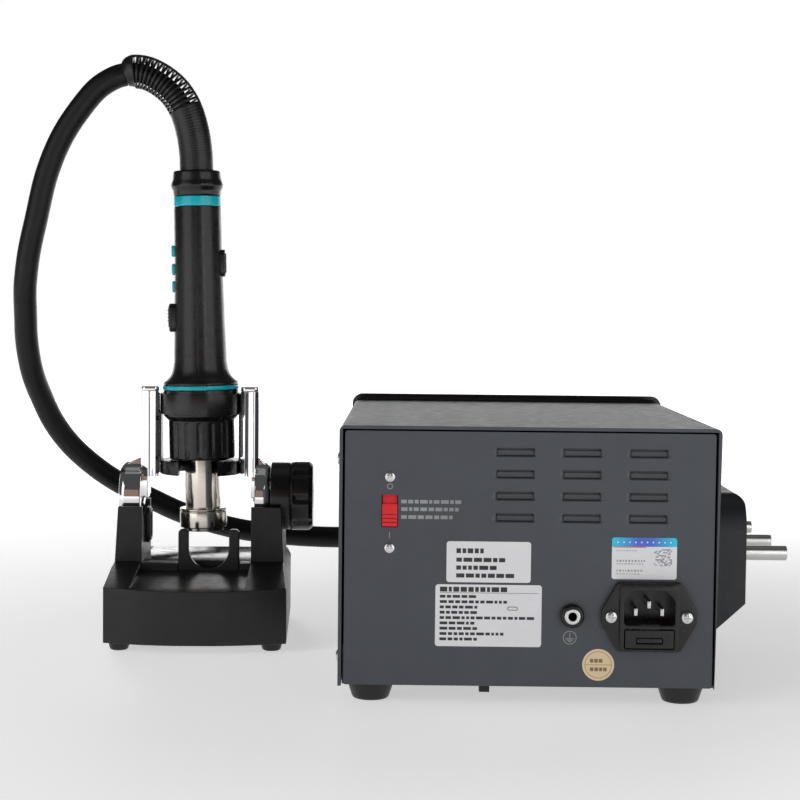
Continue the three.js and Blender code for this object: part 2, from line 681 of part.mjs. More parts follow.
function buildStand(stand) {
  piece(stand, 'stand_base', standBase(), 'blackPaint');
  let footNumber = 0;
  for (const y of STAND_FEET.y) {
    for (const x of STAND_FEET.x) {
      footNumber += 1;
      piece(stand, `stand_foot_${footNumber}`, foot(6.8, 5.6, BASE_Z[0] - GAP).translate(x, y, 0), 'rubber');
    }
  }
  piece(stand, 'nozzle_fork', nozzleFork(), 'blackPaint');
  piece(stand, 'stand_stop_pad', stopPad(), 'rubber');
  piece(stand, 'cradle_arm_left', cradleArm(-1), 'chrome');
  piece(stand, 'cradle_arm_right', cradleArm(1), 'chrome');
  piece(stand, 'cradle_cup', cradleCup(), 'blackPlastic');
  piece(stand, 'clamp_knob', clampKnob(), 'blackPlastic');
}

// ---------------------------------------------------------------- handpiece

const above = (z) => z - AXIS_Z;       // bench height to the handpiece's own height

const GRIP = [                         // [radius, bench height] up the grip
  [24.2, 158.7], [24.2, 160.2], [22.4, 161.4], [19.9, 163.8], [18, 167.9], [17.1, 174],
  [16.3, 200], [15.4, 242], [15.2, 273.8],
];
const GRIP_WALL = 2.4;
const BUTTON_Z = [245.4, 233.6, 222.4];
const THUMB_Z = [193, 211.5];
const BACK_Z = [228.5, 246];

function handleShell(side) {
  const inside = GRIP.map(([r, z]) => [Math.min(r, 19) - GRIP_WALL, z]).reverse();
  const profile = ring([...GRIP, ...inside].map(([r, z]) => [r, above(z)]));
  const half = side < 0 ? block([-60, -0.15], [-60, 60], [0, 300]) : block([0.15, 60], [-60, 60], [0, 300]);
  const shell = common(turnZ(profile, 32), half);
  if (side < 0) {
    const boss = prismX(roundedRect(span(0, 6), THUMB_Z.map(above), 4), [-19.4, -14.5]);
    const slot = block([-25, -10], span(0, 3.9), [above(194.2), above(210)]);
    const holes = BUTTON_Z.map((z) => block([-20, -10], span(0, 3.5), span(above(z), 4)));
    return cut(join(shell, boss), slot, ...holes);
  }
  const boss = prismX(roundedRect(span(0, 5.2), BACK_Z.map(above), 4), [13.8, 17.4]);
  return cut(join(shell, boss), block([10, 20], span(0, 3.8), [above(230.7), above(243.8)]));
}

function headShell() {
  return turnZ(ring([
    [11.75, 110.3], [20.5, 110.3], [21.3, 111.2], [21.3, 135.5], [24.3, 138.6], [24.3, 155.3],
    [20, 155.3], [20, 127], [11.75, 127],
  ].map(([r, z]) => [r, above(z)])), 28);
}

function band(inner, outer, z0, z1) {
  return turnZ(ring([[inner, z0], [outer, z0], [outer, z1], [inner, z1]]), 28).translate(0, 0, -AXIS_Z);
}

function collar() {
  return turnZ(ring([
    [8, 280.7], [15.3, 280.7], [15.6, 284], [17.2, 287.3], [15.8, 291], [15.3, 296], [14.4, 297], [8, 297],
  ].map(([r, z]) => [r, above(z)])), 24);
}

function nozzleRing() {
  return turnZ(ring([
    [11.7, 63.4], [13.3, 63.4], [13.3, 65.6], [15.3, 65.8], [15.3, 77.7], [14.9, 78.1], [11.7, 78.1],
  ].map(([r, z]) => [r, above(z)])), 24);
}

function buildHandpiece(handpiece) {
  piece(handpiece, 'handle_shell_left', handleShell(-1), 'blackPlastic');
  piece(handpiece, 'handle_shell_right', handleShell(1), 'blackPlastic');
  piece(handpiece, 'head_shell', headShell(), 'blackPlastic');
  piece(handpiece, 'accent_ring_head', band(20, 24.7, 155.6, 158.4), 'cyanPlastic');
  piece(handpiece, 'accent_ring_upper', band(12.6, 15.3, 274.1, 280.4), 'cyanPlastic');
  piece(handpiece, 'handle_collar', collar(), 'blackPlastic');
  piece(handpiece, 'heater_tube', band(10.3, 11.4, 64.4, 124), 'steel');
  piece(handpiece, 'nozzle_ring', nozzleRing(), 'steel');
  const core = turnZ([[0, above(69.4)], [8.6, above(69.4)], [8.6, above(121)], [0, above(121)]], 20);
  piece(handpiece, 'heating_core', core, 'ceramic');
  BUTTON_Z.forEach((z, i) => {
    const button = prismX(roundedRect(span(0, 3.2), span(above(z), 3.7), 1.6), [-17.2, -13.5], 3);
    piece(handpiece, `handle_button_${i + 1}`, button, 'cyanPlastic');
  });
  const slider = prismX(roundedRect(span(0, 3.6), [above(197.5), above(209.7)], 1.6), [-20.5, -14.5], 3);
  piece(handpiece, 'thumb_slider', slider, 'cyanPlastic');
  const back = prismX(roundedRect(span(0, 3.5), [above(231), above(243.5)], 1.6), [13, 18.2], 3);
  piece(handpiece, 'back_button', back, 'blackPlastic');
}

// The strain relief bends from the handpiece's top over to the hose.
const SLEEVE_ROUTE = [
  [-5, 0, 297.3], [-5.5, 0, 308], [-7.6, 0, 322], [-12.4, 0, 337], [-19.6, 0, 348],
  [-29, 0, 355.6], [-38, 0, 359.6], [-45.5, 0, 360.3], [-51, 0, 358.6],
];

// ---------------------------------------------------------------- hose

const HOSE_RADIUS = 7.5;
const HOSE_SIDES = 10;

// From the gland, behind the stand and up to the left end of its loop.
const HOSE_LOWER = [
  [-74, 284.3, 45], [-74, 291, 45], [-77.6, 310, 45], [-88, 327, 44.6], [-105, 339, 44],
  [-126, 343, 43.6], [-150, 341, 45], [-187, 334, 50], [-224, 320, 62.4], [-243.6, 310, 72.8],
  [-264.2, 298, 85], [-278.4, 288, 96], [-294.6, 276, 112.8], [-305, 266, 129.5], [-311.6, 257, 147],
  [-315.8, 246, 165], [-318.2, 240.6, 185.2], [-318, 236, 203.7],
];
// From there over the top to the strain relief.
const HOSE_UPPER = [
  [-318, 235.9, 204.1], [-317.4, 231.9, 220.2], [-314.4, 229, 242], [-308.8, 227, 266],
  [-301.8, 225.4, 294], [-291.6, 224, 318], [-279, 223.3, 337], [-267.5, 223, 350],
  [-256.5, 223, 356.67], [-250.75, 223.2, 358.45],
];

// ---------------------------------------------------------------- assembly

const model = new THREE.Group();
const station = new THREE.Group();
station.position.set(FRAME_X, FRAME_Y, 0);
model.add(station);
buildStation(station);

const stand = new THREE.Group();
stand.position.set(STAND_X, STAND_Y, 0);
stand.rotation.z = STAND_TURN;
station.add(stand);
buildStand(stand);

const handpiece = new THREE.Group();
handpiece.position.set(HANDPIECE_X, 0, AXIS_Z);
handpiece.rotation.y = -LEAN;
stand.add(handpiece);
buildHandpiece(handpiece);

piece(stand, 'hose_sleeve', tube(SLEEVE_ROUTE, 10.9, 16, 12), 'rubber');
piece(station, 'hose_lower', tube(HOSE_LOWER, HOSE_RADIUS, 24, HOSE_SIDES), 'rubber');
piece(station, 'hose_upper', tube(HOSE_UPPER, HOSE_RADIUS, 12, HOSE_SIDES), 'rubber');

export default model;
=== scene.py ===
"""Looks of a hot air rework station: control unit, stand, handpiece and air hose.

Lengths are millimetres in three local frames, and each piece is turned into the row frame
in metres as it is placed. The frames come from the CAD model's own nodes and joints.
"""

import json
import math
import random

import bmesh
import bpy
from mathutils import Matrix, Vector


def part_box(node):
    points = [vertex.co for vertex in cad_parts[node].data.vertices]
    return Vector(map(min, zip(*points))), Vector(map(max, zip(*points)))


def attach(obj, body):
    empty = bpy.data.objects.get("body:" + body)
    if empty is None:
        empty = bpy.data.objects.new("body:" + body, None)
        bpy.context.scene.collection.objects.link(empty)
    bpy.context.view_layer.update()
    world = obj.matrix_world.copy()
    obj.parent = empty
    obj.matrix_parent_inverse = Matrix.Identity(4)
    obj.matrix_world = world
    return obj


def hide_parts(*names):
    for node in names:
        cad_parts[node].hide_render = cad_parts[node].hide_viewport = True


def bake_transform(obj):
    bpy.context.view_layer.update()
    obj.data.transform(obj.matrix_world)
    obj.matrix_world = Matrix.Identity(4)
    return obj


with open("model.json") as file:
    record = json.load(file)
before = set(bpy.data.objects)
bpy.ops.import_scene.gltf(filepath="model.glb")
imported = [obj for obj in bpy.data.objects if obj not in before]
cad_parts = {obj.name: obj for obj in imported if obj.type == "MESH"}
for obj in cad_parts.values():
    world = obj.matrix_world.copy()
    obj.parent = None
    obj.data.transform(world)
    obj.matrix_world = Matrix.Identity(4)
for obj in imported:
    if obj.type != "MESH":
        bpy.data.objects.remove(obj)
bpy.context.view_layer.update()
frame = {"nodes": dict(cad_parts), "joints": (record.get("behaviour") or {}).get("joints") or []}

MM = 0.001
JOINTS = {joint["name"]: joint for joint in frame["joints"]}


# ---------------------------------------------------------------- local frames

def local_frame(origin, x_axis, z_axis):
    """Matrix from millimetres in a local frame to metres in the row frame."""
    z = Vector(z_axis).normalized()
    y = z.cross(Vector(x_axis)).normalized()
    x = y.cross(z)
    turn = Matrix((x, y, z)).transposed().to_4x4()
    return Matrix.Translation(origin) @ turn @ Matrix.Scale(MM, 4)


COVER_LOW, COVER_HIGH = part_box("case_cover")
STATION = local_frame(((COVER_LOW.x + COVER_HIGH.x) / 2, COVER_LOW.y, 0), (1, 0, 0), (0, 0, 1))

TILT = JOINTS["cradle_tilt"]
AXIS_Z = TILT["pos_m"][2] / MM
STAND = local_frame((TILT["pos_m"][0], TILT["pos_m"][1], 0), TILT["axis"], (0, 0, 1))

# The handpiece's heights are bench heights too: its frame is the stand's, leant about the tilt axis.
TUBE_LOW, TUBE_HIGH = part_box("heater_tube")
TUBE_MIDDLE = (TUBE_LOW + TUBE_HIGH) / 2
TUBE_Z = [64.4, 124]
LIFT = Vector(JOINTS["handpiece_lift"]["axis"])
HANDPIECE = local_frame(TUBE_MIDDLE - LIFT * MM * sum(TUBE_Z) / 2, TILT["axis"], LIFT)


# ---------------------------------------------------------------- camera

CAMERA_AT = Vector((-0.0119, -1.0803, 0.2145))
CAMERA_LENS = 80.5
CAMERA_YAW, CAMERA_PITCH, CAMERA_ROLL = (math.radians(a) for a in (-0.41, 3.18, 0.60))


def make_camera():
    forward = Vector((
        math.sin(CAMERA_YAW) * math.cos(CAMERA_PITCH),
        math.cos(CAMERA_YAW) * math.cos(CAMERA_PITCH),
        -math.sin(CAMERA_PITCH),
    ))
    level = Vector((math.cos(CAMERA_YAW), -math.sin(CAMERA_YAW), 0))
    up = level.cross(forward)
    right = level * math.cos(CAMERA_ROLL) + up * math.sin(CAMERA_ROLL)
    top = up * math.cos(CAMERA_ROLL) - level * math.sin(CAMERA_ROLL)
    camera = bpy.data.objects.new("camera", bpy.data.cameras.new("camera"))
    camera.data.lens = CAMERA_LENS
    camera.matrix_world = Matrix.Translation(CAMERA_AT) @ Matrix((right, top, -forward)).transposed().to_4x4()
    bpy.context.scene.collection.objects.link(camera)
    bpy.context.scene.camera = camera


# ---------------------------------------------------------------- materials

def node(tree, kind, **values):
    made = tree.nodes.new(kind)
    for name, value in values.items():
        if name in made.inputs:
            made.inputs[name].default_value = value
        else:
            setattr(made, name, value)
    return made


def noise_field(tree, feature, detail=3.0, stretch=(1, 1, 1)):
    """Noise whose features are about this many millimetres across."""
    place = node(tree, "ShaderNodeTexCoord")
    mapping = node(tree, "ShaderNodeMapping", Scale=stretch)
    field = node(tree, "ShaderNodeTexNoise", Scale=1 / (feature * MM), Detail=detail)
    tree.links.new(place.outputs["Object"], mapping.inputs["Vector"])
    tree.links.new(mapping.outputs["Vector"], field.inputs["Vector"])
    return field.outputs["Fac"]


def scaled(tree, value, low, high):
    """The middle of a noise field spread from low to high."""
    spread = node(tree, "ShaderNodeMapRange")
    spread.inputs["From Min"].default_value = 0.3
    spread.inputs["From Max"].default_value = 0.7
    spread.inputs["To Min"].default_value = low
    spread.inputs["To Max"].default_value = high
    tree.links.new(value, spread.inputs["Value"])
    return spread.outputs["Result"]


def edge_mask(tree, width):
    """About 1 on the edges narrower than this many millimetres, 0 elsewhere."""
    rounded_normal = node(tree, "ShaderNodeBevel", Radius=width * MM)
    geometry = node(tree, "ShaderNodeNewGeometry")
    compare = node(tree, "ShaderNodeVectorMath", operation="DOT_PRODUCT")
    tree.links.new(rounded_normal.outputs["Normal"], compare.inputs[0])
    tree.links.new(geometry.outputs["Normal"], compare.inputs[1])
    spread = node(tree, "ShaderNodeMapRange")
    spread.inputs["From Min"].default_value = 0.99
    spread.inputs["From Max"].default_value = 0.85
    tree.links.new(compare.outputs["Value"], spread.inputs["Value"])
    return spread.outputs["Result"]


def finish_of(name, color, roughness, metallic=0.0, mottle=0.12, patch=18.0, grain=0.5, height=0.012,
              rough_vary=0.06, stretch=(1, 1, 1), edge=None, specular=0.5, coat=0.0, sheen=0.0):
    """A moulded, painted or machined surface.

    mottle is how far the colour drifts over patches, grain the size of the fine texture and
    height how deep it is, and edge a lighter colour painted along the edges as a highlight, in patches.
    """
    material = bpy.data.materials.new(name)
    material.use_nodes = True
    tree = material.node_tree
    shader = tree.nodes["Principled BSDF"]
    shader.inputs["Metallic"].default_value = metallic
    shader.inputs["Specular IOR Level"].default_value = specular
    shader.inputs["Coat Weight"].default_value = coat
    shader.inputs["Coat Roughness"].default_value = 0.08
    shader.inputs["Sheen Weight"].default_value = sheen

    drift = scaled(tree, noise_field(tree, patch), 0.0, 1.0)
    tint = node(tree, "ShaderNodeMix", data_type="RGBA")
    tint.inputs["A"].default_value = (*[c * (1 - mottle) for c in color], 1)
    tint.inputs["B"].default_value = (*[min(1, c * (1 + mottle)) for c in color], 1)
    tree.links.new(drift, tint.inputs["Factor"])
    result = tint.outputs["Result"]
    # Painted highlight: the edges are lightened towards the edge colour in noisy patches, in place of the
    # light they catch.
    if edge:
        painted_edge_highlight = node(tree, "ShaderNodeMix", data_type="RGBA")
        painted_edge_highlight.inputs["B"].default_value = (*edge, 1)
        mask = node(tree, "ShaderNodeMath", operation="MULTIPLY")
        tree.links.new(edge_mask(tree, 0.5), mask.inputs[0])
        tree.links.new(scaled(tree, noise_field(tree, 3.0), 0.1, 0.6), mask.inputs[1])
        tree.links.new(mask.outputs["Value"], painted_edge_highlight.inputs["Factor"])
        tree.links.new(result, painted_edge_highlight.inputs["A"])
        result = painted_edge_highlight.outputs["Result"]
    tree.links.new(result, shader.inputs["Base Color"])

    smear = noise_field(tree, patch / 3, 4.0, stretch)
    tree.links.new(scaled(tree, smear, max(0.02, roughness - rough_vary), roughness + rough_vary),
                   shader.inputs["Roughness"])
    bump = node(tree, "ShaderNodeBump", Strength=1.0, Distance=height * MM)
    tree.links.new(noise_field(tree, grain, 2.0, stretch), bump.inputs["Height"])
    tree.links.new(bump.outputs["Normal"], shader.inputs["Normal"])
    return material


def plain(name, color, roughness=0.6):
    material = bpy.data.materials.new(name)
    material.use_nodes = True
    shader = material.node_tree.nodes["Principled BSDF"]
    shader.inputs["Base Color"].default_value = (*color, 1)
    shader.inputs["Roughness"].default_value = roughness
    return material


BRUSHED_UP = (1, 1, 0.03)              # grain drawn out along z
BRUSHED_OUT = (0.03, 1, 1)             # grain drawn out along x

LOOKS = {
    "powder_coat": finish_of("powder_coat", (0.061, 0.070, 0.086), 0.42, grain=0.55, height=0.02,
                             mottle=0.05),
    "black_plastic": finish_of("black_plastic", (0.0042, 0.0043, 0.0046), 0.27, grain=0.35, height=0.005),
    "satin_plastic": finish_of("satin_plastic", (0.0065, 0.0066, 0.0071), 0.3, grain=0.4, height=0.007),
    "rack_plastic": finish_of("rack_plastic", (0.014, 0.0165, 0.021), 0.4, grain=0.45, height=0.014),
    "gloss_black": finish_of("gloss_black", (0.008, 0.008, 0.009), 0.12, grain=2.0, height=0.004,
                             rough_vary=0.03),
    # The black paint's edges get a painted highlight: a lighter colour along them.
    "black_paint": finish_of("black_paint", (0.019, 0.0195, 0.0198), 0.34, grain=0.5, height=0.012,
                             specular=0.35, edge=(0.12, 0.12, 0.125)),
    "deck_paint": finish_of("deck_paint", (0.03, 0.03, 0.031), 0.16, grain=0.5, height=0.006),
    "chrome": finish_of("chrome", (0.86, 0.87, 0.88), 0.04, 1.0, mottle=0.02, grain=6.0, height=0.004,
                        rough_vary=0.015),
    "steel": finish_of("steel", (0.66, 0.62, 0.56), 0.17, 1.0, mottle=0.05, grain=0.5, height=0.002,
                       stretch=BRUSHED_UP, rough_vary=0.04),
    "tube_steel": finish_of("tube_steel", (0.6, 0.6, 0.59), 0.28, 1.0, mottle=0.08, grain=0.4, height=0.004,
                            stretch=BRUSHED_OUT),
    "screw_steel": finish_of("screw_steel", (0.68, 0.69, 0.7), 0.24, 1.0, mottle=0.08, grain=0.5),
    "rubber": finish_of("rubber", (0.0035, 0.0035, 0.0037), 0.36, grain=0.4, height=0.008),
    "hose_rubber": finish_of("hose_rubber", (0.0032, 0.0032, 0.0033), 0.42, grain=0.7, height=0.01,
                             specular=0.3),
    "cyan_plastic": finish_of("cyan_plastic", (0.0, 0.47, 0.56), 0.24, grain=0.4, height=0.005, mottle=0.05),
    "red_plastic": finish_of("red_plastic", (0.80, 0.016, 0.022), 0.34, grain=0.4, height=0.006, mottle=0.05),
    "display_glass": finish_of("display_glass", (0.006, 0.009, 0.014), 0.05, grain=8.0, height=0.001,
                               rough_vary=0.02, coat=0.5),
    "ceramic": finish_of("ceramic", (0.66, 0.62, 0.52), 0.7, grain=0.3, height=0.02),
    "circuit_board": finish_of("circuit_board", (0.012, 0.10, 0.045), 0.45, grain=0.6, height=0.02),
    "label_paper": finish_of("label_paper", (0.84, 0.85, 0.87), 0.32, mottle=0.02, grain=0.2, height=0.003),
    "label_ink": finish_of("label_ink", (0.03, 0.03, 0.034), 0.5, mottle=0.2, grain=0.3),
    "faint_ink": finish_of("faint_ink", (0.36, 0.36, 0.38), 0.5, mottle=0.2, grain=0.3),
    "panel_ink": finish_of("panel_ink", (0.30, 0.32, 0.335), 0.5, mottle=0.15, grain=0.3),
    "cream_paper": finish_of("cream_paper", (0.84, 0.66, 0.42), 0.4, mottle=0.03, grain=0.2, height=0.003),
    "brown_ink": finish_of("brown_ink", (0.28, 0.18, 0.09), 0.5, mottle=0.1),
}


# ---------------------------------------------------------------- shapes, in millimetres

def object_of(name, mesh):
    made = bpy.data.objects.new(name, mesh)
    bpy.context.scene.collection.objects.link(made)
    return made


def shaded(piece, angle=32):
    piece.data.shade_smooth()
    piece.data.set_sharp_from_angle(angle=math.radians(angle))
    return piece


def cleaned(mesh, merge=0.0, thin=0.0):
    """Merges points closer than merge, drops edges shorter than thin, and turns the faces out."""
    work = bmesh.new()
    work.from_mesh(mesh)
    if merge:
        bmesh.ops.remove_doubles(work, verts=work.verts, dist=merge)
    if thin:
        bmesh.ops.dissolve_degenerate(work, edges=work.edges, dist=thin)
    bmesh.ops.recalc_face_normals(work, faces=work.faces)
    work.to_mesh(mesh)
    work.free()
    return mesh


def from_points(name, points, faces, angle=32):
    """A mesh from its points and faces, with doubled points merged and its faces turned out."""
    mesh = bpy.data.meshes.new(name)
    mesh.from_pydata(points, [], faces)
    return shaded(object_of(name, cleaned(mesh, merge=1e-4, thin=1e-5)), angle)


def rounded(points, radius=0.3, steps=3, looped=True):
    """A polyline with its corners turned into short arcs."""
    count = len(points)
    made = []
    for i, point in enumerate(points):
        if not looped and i in (0, count - 1):
            made.append(tuple(point))
            continue
        here = Vector(point)
        before = Vector(points[i - 1]) - here
        after = Vector(points[(i + 1) % count]) - here
        reach = min(radius, before.length * 0.45, after.length * 0.45)
        if reach < 1e-3 or before.angle(after) > math.radians(168):
            made.append(tuple(point))
            continue
        start = here + before.normalized() * reach
        end = here + after.normalized() * reach
        for k in range(steps + 1):
            t = k / steps
            made.append(tuple(start.lerp(here, t).lerp(here.lerp(end, t), t)))
    return made


def turned(name, profile, steps=96, arc=(0, 360), wave=None, soften=0.3, angle=32):
    """A closed profile of (radius, height) points turned about z.

    wave(angle, height) is added to the radius. An arc under a full turn gets flat ends.
    """
    outline = rounded(profile, soften) if soften else profile
    outline = [(max(r, 0), z) for r, z in outline]
    first, last = (math.radians(a) for a in arc)
    full = arc[1] - arc[0] >= 360
    columns = steps if full else steps + 1
    rows = len(outline)
    points = []
    for i in range(columns):
        turn = first + (last - first) * i / steps
        for r, z in outline:
            extra = wave(turn, z) if wave and r > 0 else 0
            points.append(((r + extra) * math.cos(turn), (r + extra) * math.sin(turn), z))
    faces = []
    for i in range(steps):
        here, there = i * rows, ((i + 1) % columns) * rows
        for k in range(rows):
            j = (k + 1) % rows
            faces.append((here + k, here + j, there + j, there + k))
    if not full:
        faces.append(tuple(range(rows)))
        faces.append(tuple((columns - 1) * rows + k for k in range(rows)))
    return from_points(name, points, faces, angle)


def rectangle(x, z, width, height, radius=0.0, steps=5):
    """Corner points of a rectangle with round corners, about its middle, counter-clockwise."""
    half_w, half_h = width / 2, height / 2
    if radius <= 0:
        return [(x - half_w, z - half_h), (x + half_w, z - half_h), (x + half_w, z + half_h),
            (x - half_w, z + half_h)]
    points = []
    for quarter, (sx, sz) in enumerate(((1, -1), (1, 1), (-1, 1), (-1, -1))):
        for k in range(steps + 1):
            turn = math.pi / 2 * (quarter - 1 + k / steps)
            points.append((
                x + sx * (half_w - radius) + radius * math.cos(turn),
                z + sz * (half_h - radius) + radius * math.sin(turn),
            ))
    return points


def circle(x, z, radius, steps=48):
    return [(x + radius * math.cos(2 * math.pi * k / steps), z + radius * math.sin(2 * math.pi * k / steps))
            for k in range(steps)]


AXES = {                               # where an outline's first, second and depth axes point
    "y": Matrix(((1, 0, 0, 0), (0, 0, 1, 0), (0, 1, 0, 0), (0, 0, 0, 1))),
    "x": Matrix(((0, 0, 1, 0), (1, 0, 0, 0), (0, 1, 0, 0), (0, 0, 0, 1))),
    "z": Matrix.Identity(4),
}


def plate(name, loops, start, end, along="y", edge=0.0, angle=32):
    """A flat piece between two depths along an axis: the first loop is its outline, the others holes."""
    curve = bpy.data.curves.new(name, "CURVE")
    curve.dimensions = "2D"
    curve.fill_mode = "BOTH"
    for loop in loops:
        spline = curve.splines.new("POLY")
        spline.points.add(len(loop) - 1)
        for point, (u, v) in zip(spline.points, loop):
            point.co = (u, v, 0, 1)
        spline.use_cyclic_u = True
    curve.extrude = (end - start) / 2 - edge
    curve.bevel_depth = edge
    curve.bevel_resolution = 2
    curve.offset = -edge
    drawn = bpy.data.objects.new(name, curve)
    bpy.context.scene.collection.objects.link(drawn)
    bpy.context.view_layer.update()
    mesh = bpy.data.meshes.new_from_object(drawn.evaluated_get(bpy.context.evaluated_depsgraph_get()))
    bpy.data.objects.remove(drawn)
    mesh.transform(Matrix.Translation((0, 0, (start + end) / 2)))
    mesh.transform(AXES[along])
    cleaned(mesh, merge=1e-4)
    mesh.name = name
    return shaded(object_of(name, mesh), angle)


def box_piece(name, x, y, z, edge=0.0):
    """A block between two values on each axis."""
    return plate(name, [rectangle((x[0] + x[1]) / 2, (z[0] + z[1]) / 2, x[1] - x[0], z[1] - z[0])], y[0],
        y[1], edge=edge)


def moved(piece, x=0, y=0, z=0, turn=None):
    """Shifts a piece's mesh, after turning it by (degrees, axis)."""
    if turn:
        piece.data.transform(Matrix.Rotation(math.radians(turn[0]), 4, turn[1]))
    piece.data.transform(Matrix.Translation((x, y, z)))
    return piece


def applied(piece):
    """Turns a piece's modifiers into its mesh."""
    bpy.context.view_layer.update()
    mesh = bpy.data.meshes.new_from_object(piece.evaluated_get(bpy.context.evaluated_depsgraph_get()))
    piece.modifiers.clear()
    piece.data = mesh
    return piece


def combined(piece, others, operation="DIFFERENCE", angle=32):
    """Cuts, joins or crosses a piece with others, which are used up."""
    for other in others:
        step = piece.modifiers.new("solid", "BOOLEAN")
        step.operation = operation
        step.solver = "EXACT"
        step.object = other
    applied(piece)
    for other in others:
        bpy.data.objects.remove(other)
    return shaded(piece, angle)


def joined(name, pieces):
    """Several closed meshes as one piece."""
    work = bmesh.new()
    for piece in pieces:
        work.from_mesh(piece.data)
        bpy.data.objects.remove(piece)
    mesh = bpy.data.meshes.new(name)
    work.to_mesh(mesh)
    work.free()
    return shaded(object_of(name, mesh))


def softened(piece, width, segments=2, angle=35):
    """Rounds the sharp edges, by a width in the piece's own units."""
    bevel = piece.modifiers.new("soft_edges", "BEVEL")
    bevel.width = width
    bevel.segments = segments
    bevel.limit_method = "ANGLE"
    bevel.angle_limit = math.radians(angle)
    bevel.harden_normals = True
    return piece


def place(piece, where, body, look, stands_for=(), slot=None):
    """Puts a piece in the row frame, on its body, with its material."""
    if piece.modifiers:
        applied(piece)
    piece.data.transform(where)
    piece.data.materials.clear()
    piece.data.materials.append(LOOKS[look])
    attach(piece, body)
    if stands_for:
        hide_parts(*stands_for)
    return piece


# ---------------------------------------------------------------- air hose

# The route's points in the station frame, from the gland to the strain relief.
HOSE_LOWER_ROUTE = [(-74, 284.3, 45), (-74, 291, 45), (-77.6, 310, 45), (-88, 327, 44.6), (-105, 339, 44),
    (-126, 343, 43.6), (-150, 341, 45), (-187, 334, 50), (-224, 320, 62.4), (-243.6, 310, 72.8),
    (-264.2, 298, 85), (-278.4, 288, 96), (-294.6, 276, 112.8), (-305, 266, 129.5), (-311.6, 257, 147),
    (-315.8, 246, 165), (-318.2, 240.6, 185.2), (-318, 236, 203.7),]
HOSE_UPPER_ROUTE = [(-318, 235.9, 204.1), (-317.4, 231.9, 220.2), (-314.4, 229, 242), (-308.8, 227, 266),
    (-301.8, 225.4, 294), (-291.6, 224, 318), (-279, 223.3, 337), (-267.5, 223, 350), (-256.5, 223, 356.67),
    (-250.75, 223.2, 358.45),]
HOSE_RADIUS = 0.0075


def curve_through(points, steps):
    """A centripetal Catmull-Rom curve through the points, with its end tangents drawn straight on."""
    points = [Vector(p) for p in points]
    padded = [points[0] * 2 - points[1], *points, points[-1] * 2 - points[-2]]
    made = []
    for i in range(1, len(padded) - 2):
        p0, p1, p2, p3 = padded[i - 1:i + 3]
        d01, d12, d23 = ((b - a).length ** 0.5 for a, b in ((p0, p1), (p1, p2), (p2, p3)))
        m1 = (p2 - p1) + ((p1 - p0) / d01 - (p2 - p0) / (d01 + d12)) * d12
        m2 = (p2 - p1) + ((p3 - p2) / d23 - (p3 - p1) / (d12 + d23)) * d12
        for k in range(steps):
            t = k / steps
            made.append(
                p1 * (2 * t ** 3 - 3 * t ** 2 + 1) + m1 * (t ** 3 - 2 * t ** 2 + t)
                + p2 * (3 * t ** 2 - 2 * t ** 3) + m2 * (t ** 3 - t ** 2)
            )
    made.append(points[-1])
    return made


def frames_along(points, side):
    """At each point of a path: the point, its direction, and two directions across it that don't twist."""
    made = []
    across = Vector(side)
    for i, point in enumerate(points):
        ahead = (points[min(i + 1, len(points) - 1)] - points[max(i - 1, 0)]).normalized()
        across = (across - ahead * across.dot(ahead)).normalized()
        made.append((point, ahead, across, ahead.cross(across)))
    return made


def tube_piece(name, points, radius_at, side=(0, 1, 0), sides=32, angle=40):
    """A closed tube along a path. radius_at(share of the length, turn) is its radius."""
    rings = frames_along(points, side)
    total = len(rings) - 1
    made = []
    for i, (point, _, across, other) in enumerate(rings):
        for k in range(sides):
            turn = 2 * math.pi * k / sides
            radius = radius_at(i / total, turn)
            made.append(point + (across * math.cos(turn) + other * math.sin(turn)) * radius)
    faces = [tuple(range(sides)), tuple(total * sides + k for k in range(sides))]
    for i in range(total):
        for k in range(sides):
            j = (k + 1) % sides
            faces.append((i * sides + k, i * sides + j, (i + 1) * sides + j, (i + 1) * sides + k))
    mesh = bpy.data.meshes.new(name)
    mesh.from_pydata(made, [], faces)
    return shaded(object_of(name, cleaned(mesh)), angle)


def make_hoses():
    """The hose in two stretches that meet at the left end of its loop."""
    low_points = [STATION @ Vector(p) for p in HOSE_LOWER_ROUTE]
    high_points = [STATION @ Vector(p) for p in HOSE_UPPER_ROUTE]
    middle = (low_points[-1] + high_points[0]) / 2
    lower = curve_through([*low_points[:-1], middle], 6)
    upper = curve_through([middle, *high_points[1:]], 6)
    made = []
    for name, route, node_name in (("air_hose_lower", lower, "hose_lower"),
            ("air_hose_upper", upper, "hose_upper")):
        hose = tube_piece(name, route, lambda share, turn: HOSE_RADIUS)
        hose.data.materials.append(LOOKS["hose_rubber"])
        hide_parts(node_name)
        made.append(hose)
    low_hose, high_hose = made
    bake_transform(low_hose)
    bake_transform(high_hose)


make_camera()
make_hoses()


def keep_node(name, look, edge=0.3, angle=35):
    """Gives a CAD node its material, soft edges and smooth shading."""
    piece = frame["nodes"][name]
    piece.data.attributes.remove(piece.data.attributes["custom_normal"])
    piece.data.shade_smooth()
    piece.data.materials.clear()
    piece.data.materials.append(LOOKS[look])
    weld = piece.modifiers.new("weld", "WELD")
    weld.merge_threshold = 1e-6
    flat = piece.modifiers.new("flat_faces", "DECIMATE")
    flat.decimate_type = "DISSOLVE"
    flat.angle_limit = math.radians(0.5)
    if edge:
        softened(piece, edge * MM, 3, angle)
    split = piece.modifiers.new("crisp_edges", "EDGE_SPLIT")
    split.split_angle = math.radians(angle)
    return piece


def on_case(piece, look, stands_for=(), slot=None):
    """Puts a piece that doesn't move on the control unit."""
    return place(piece, STATION, "root", look, stands_for, slot)


# ---------------------------------------------------------------- fasteners and print

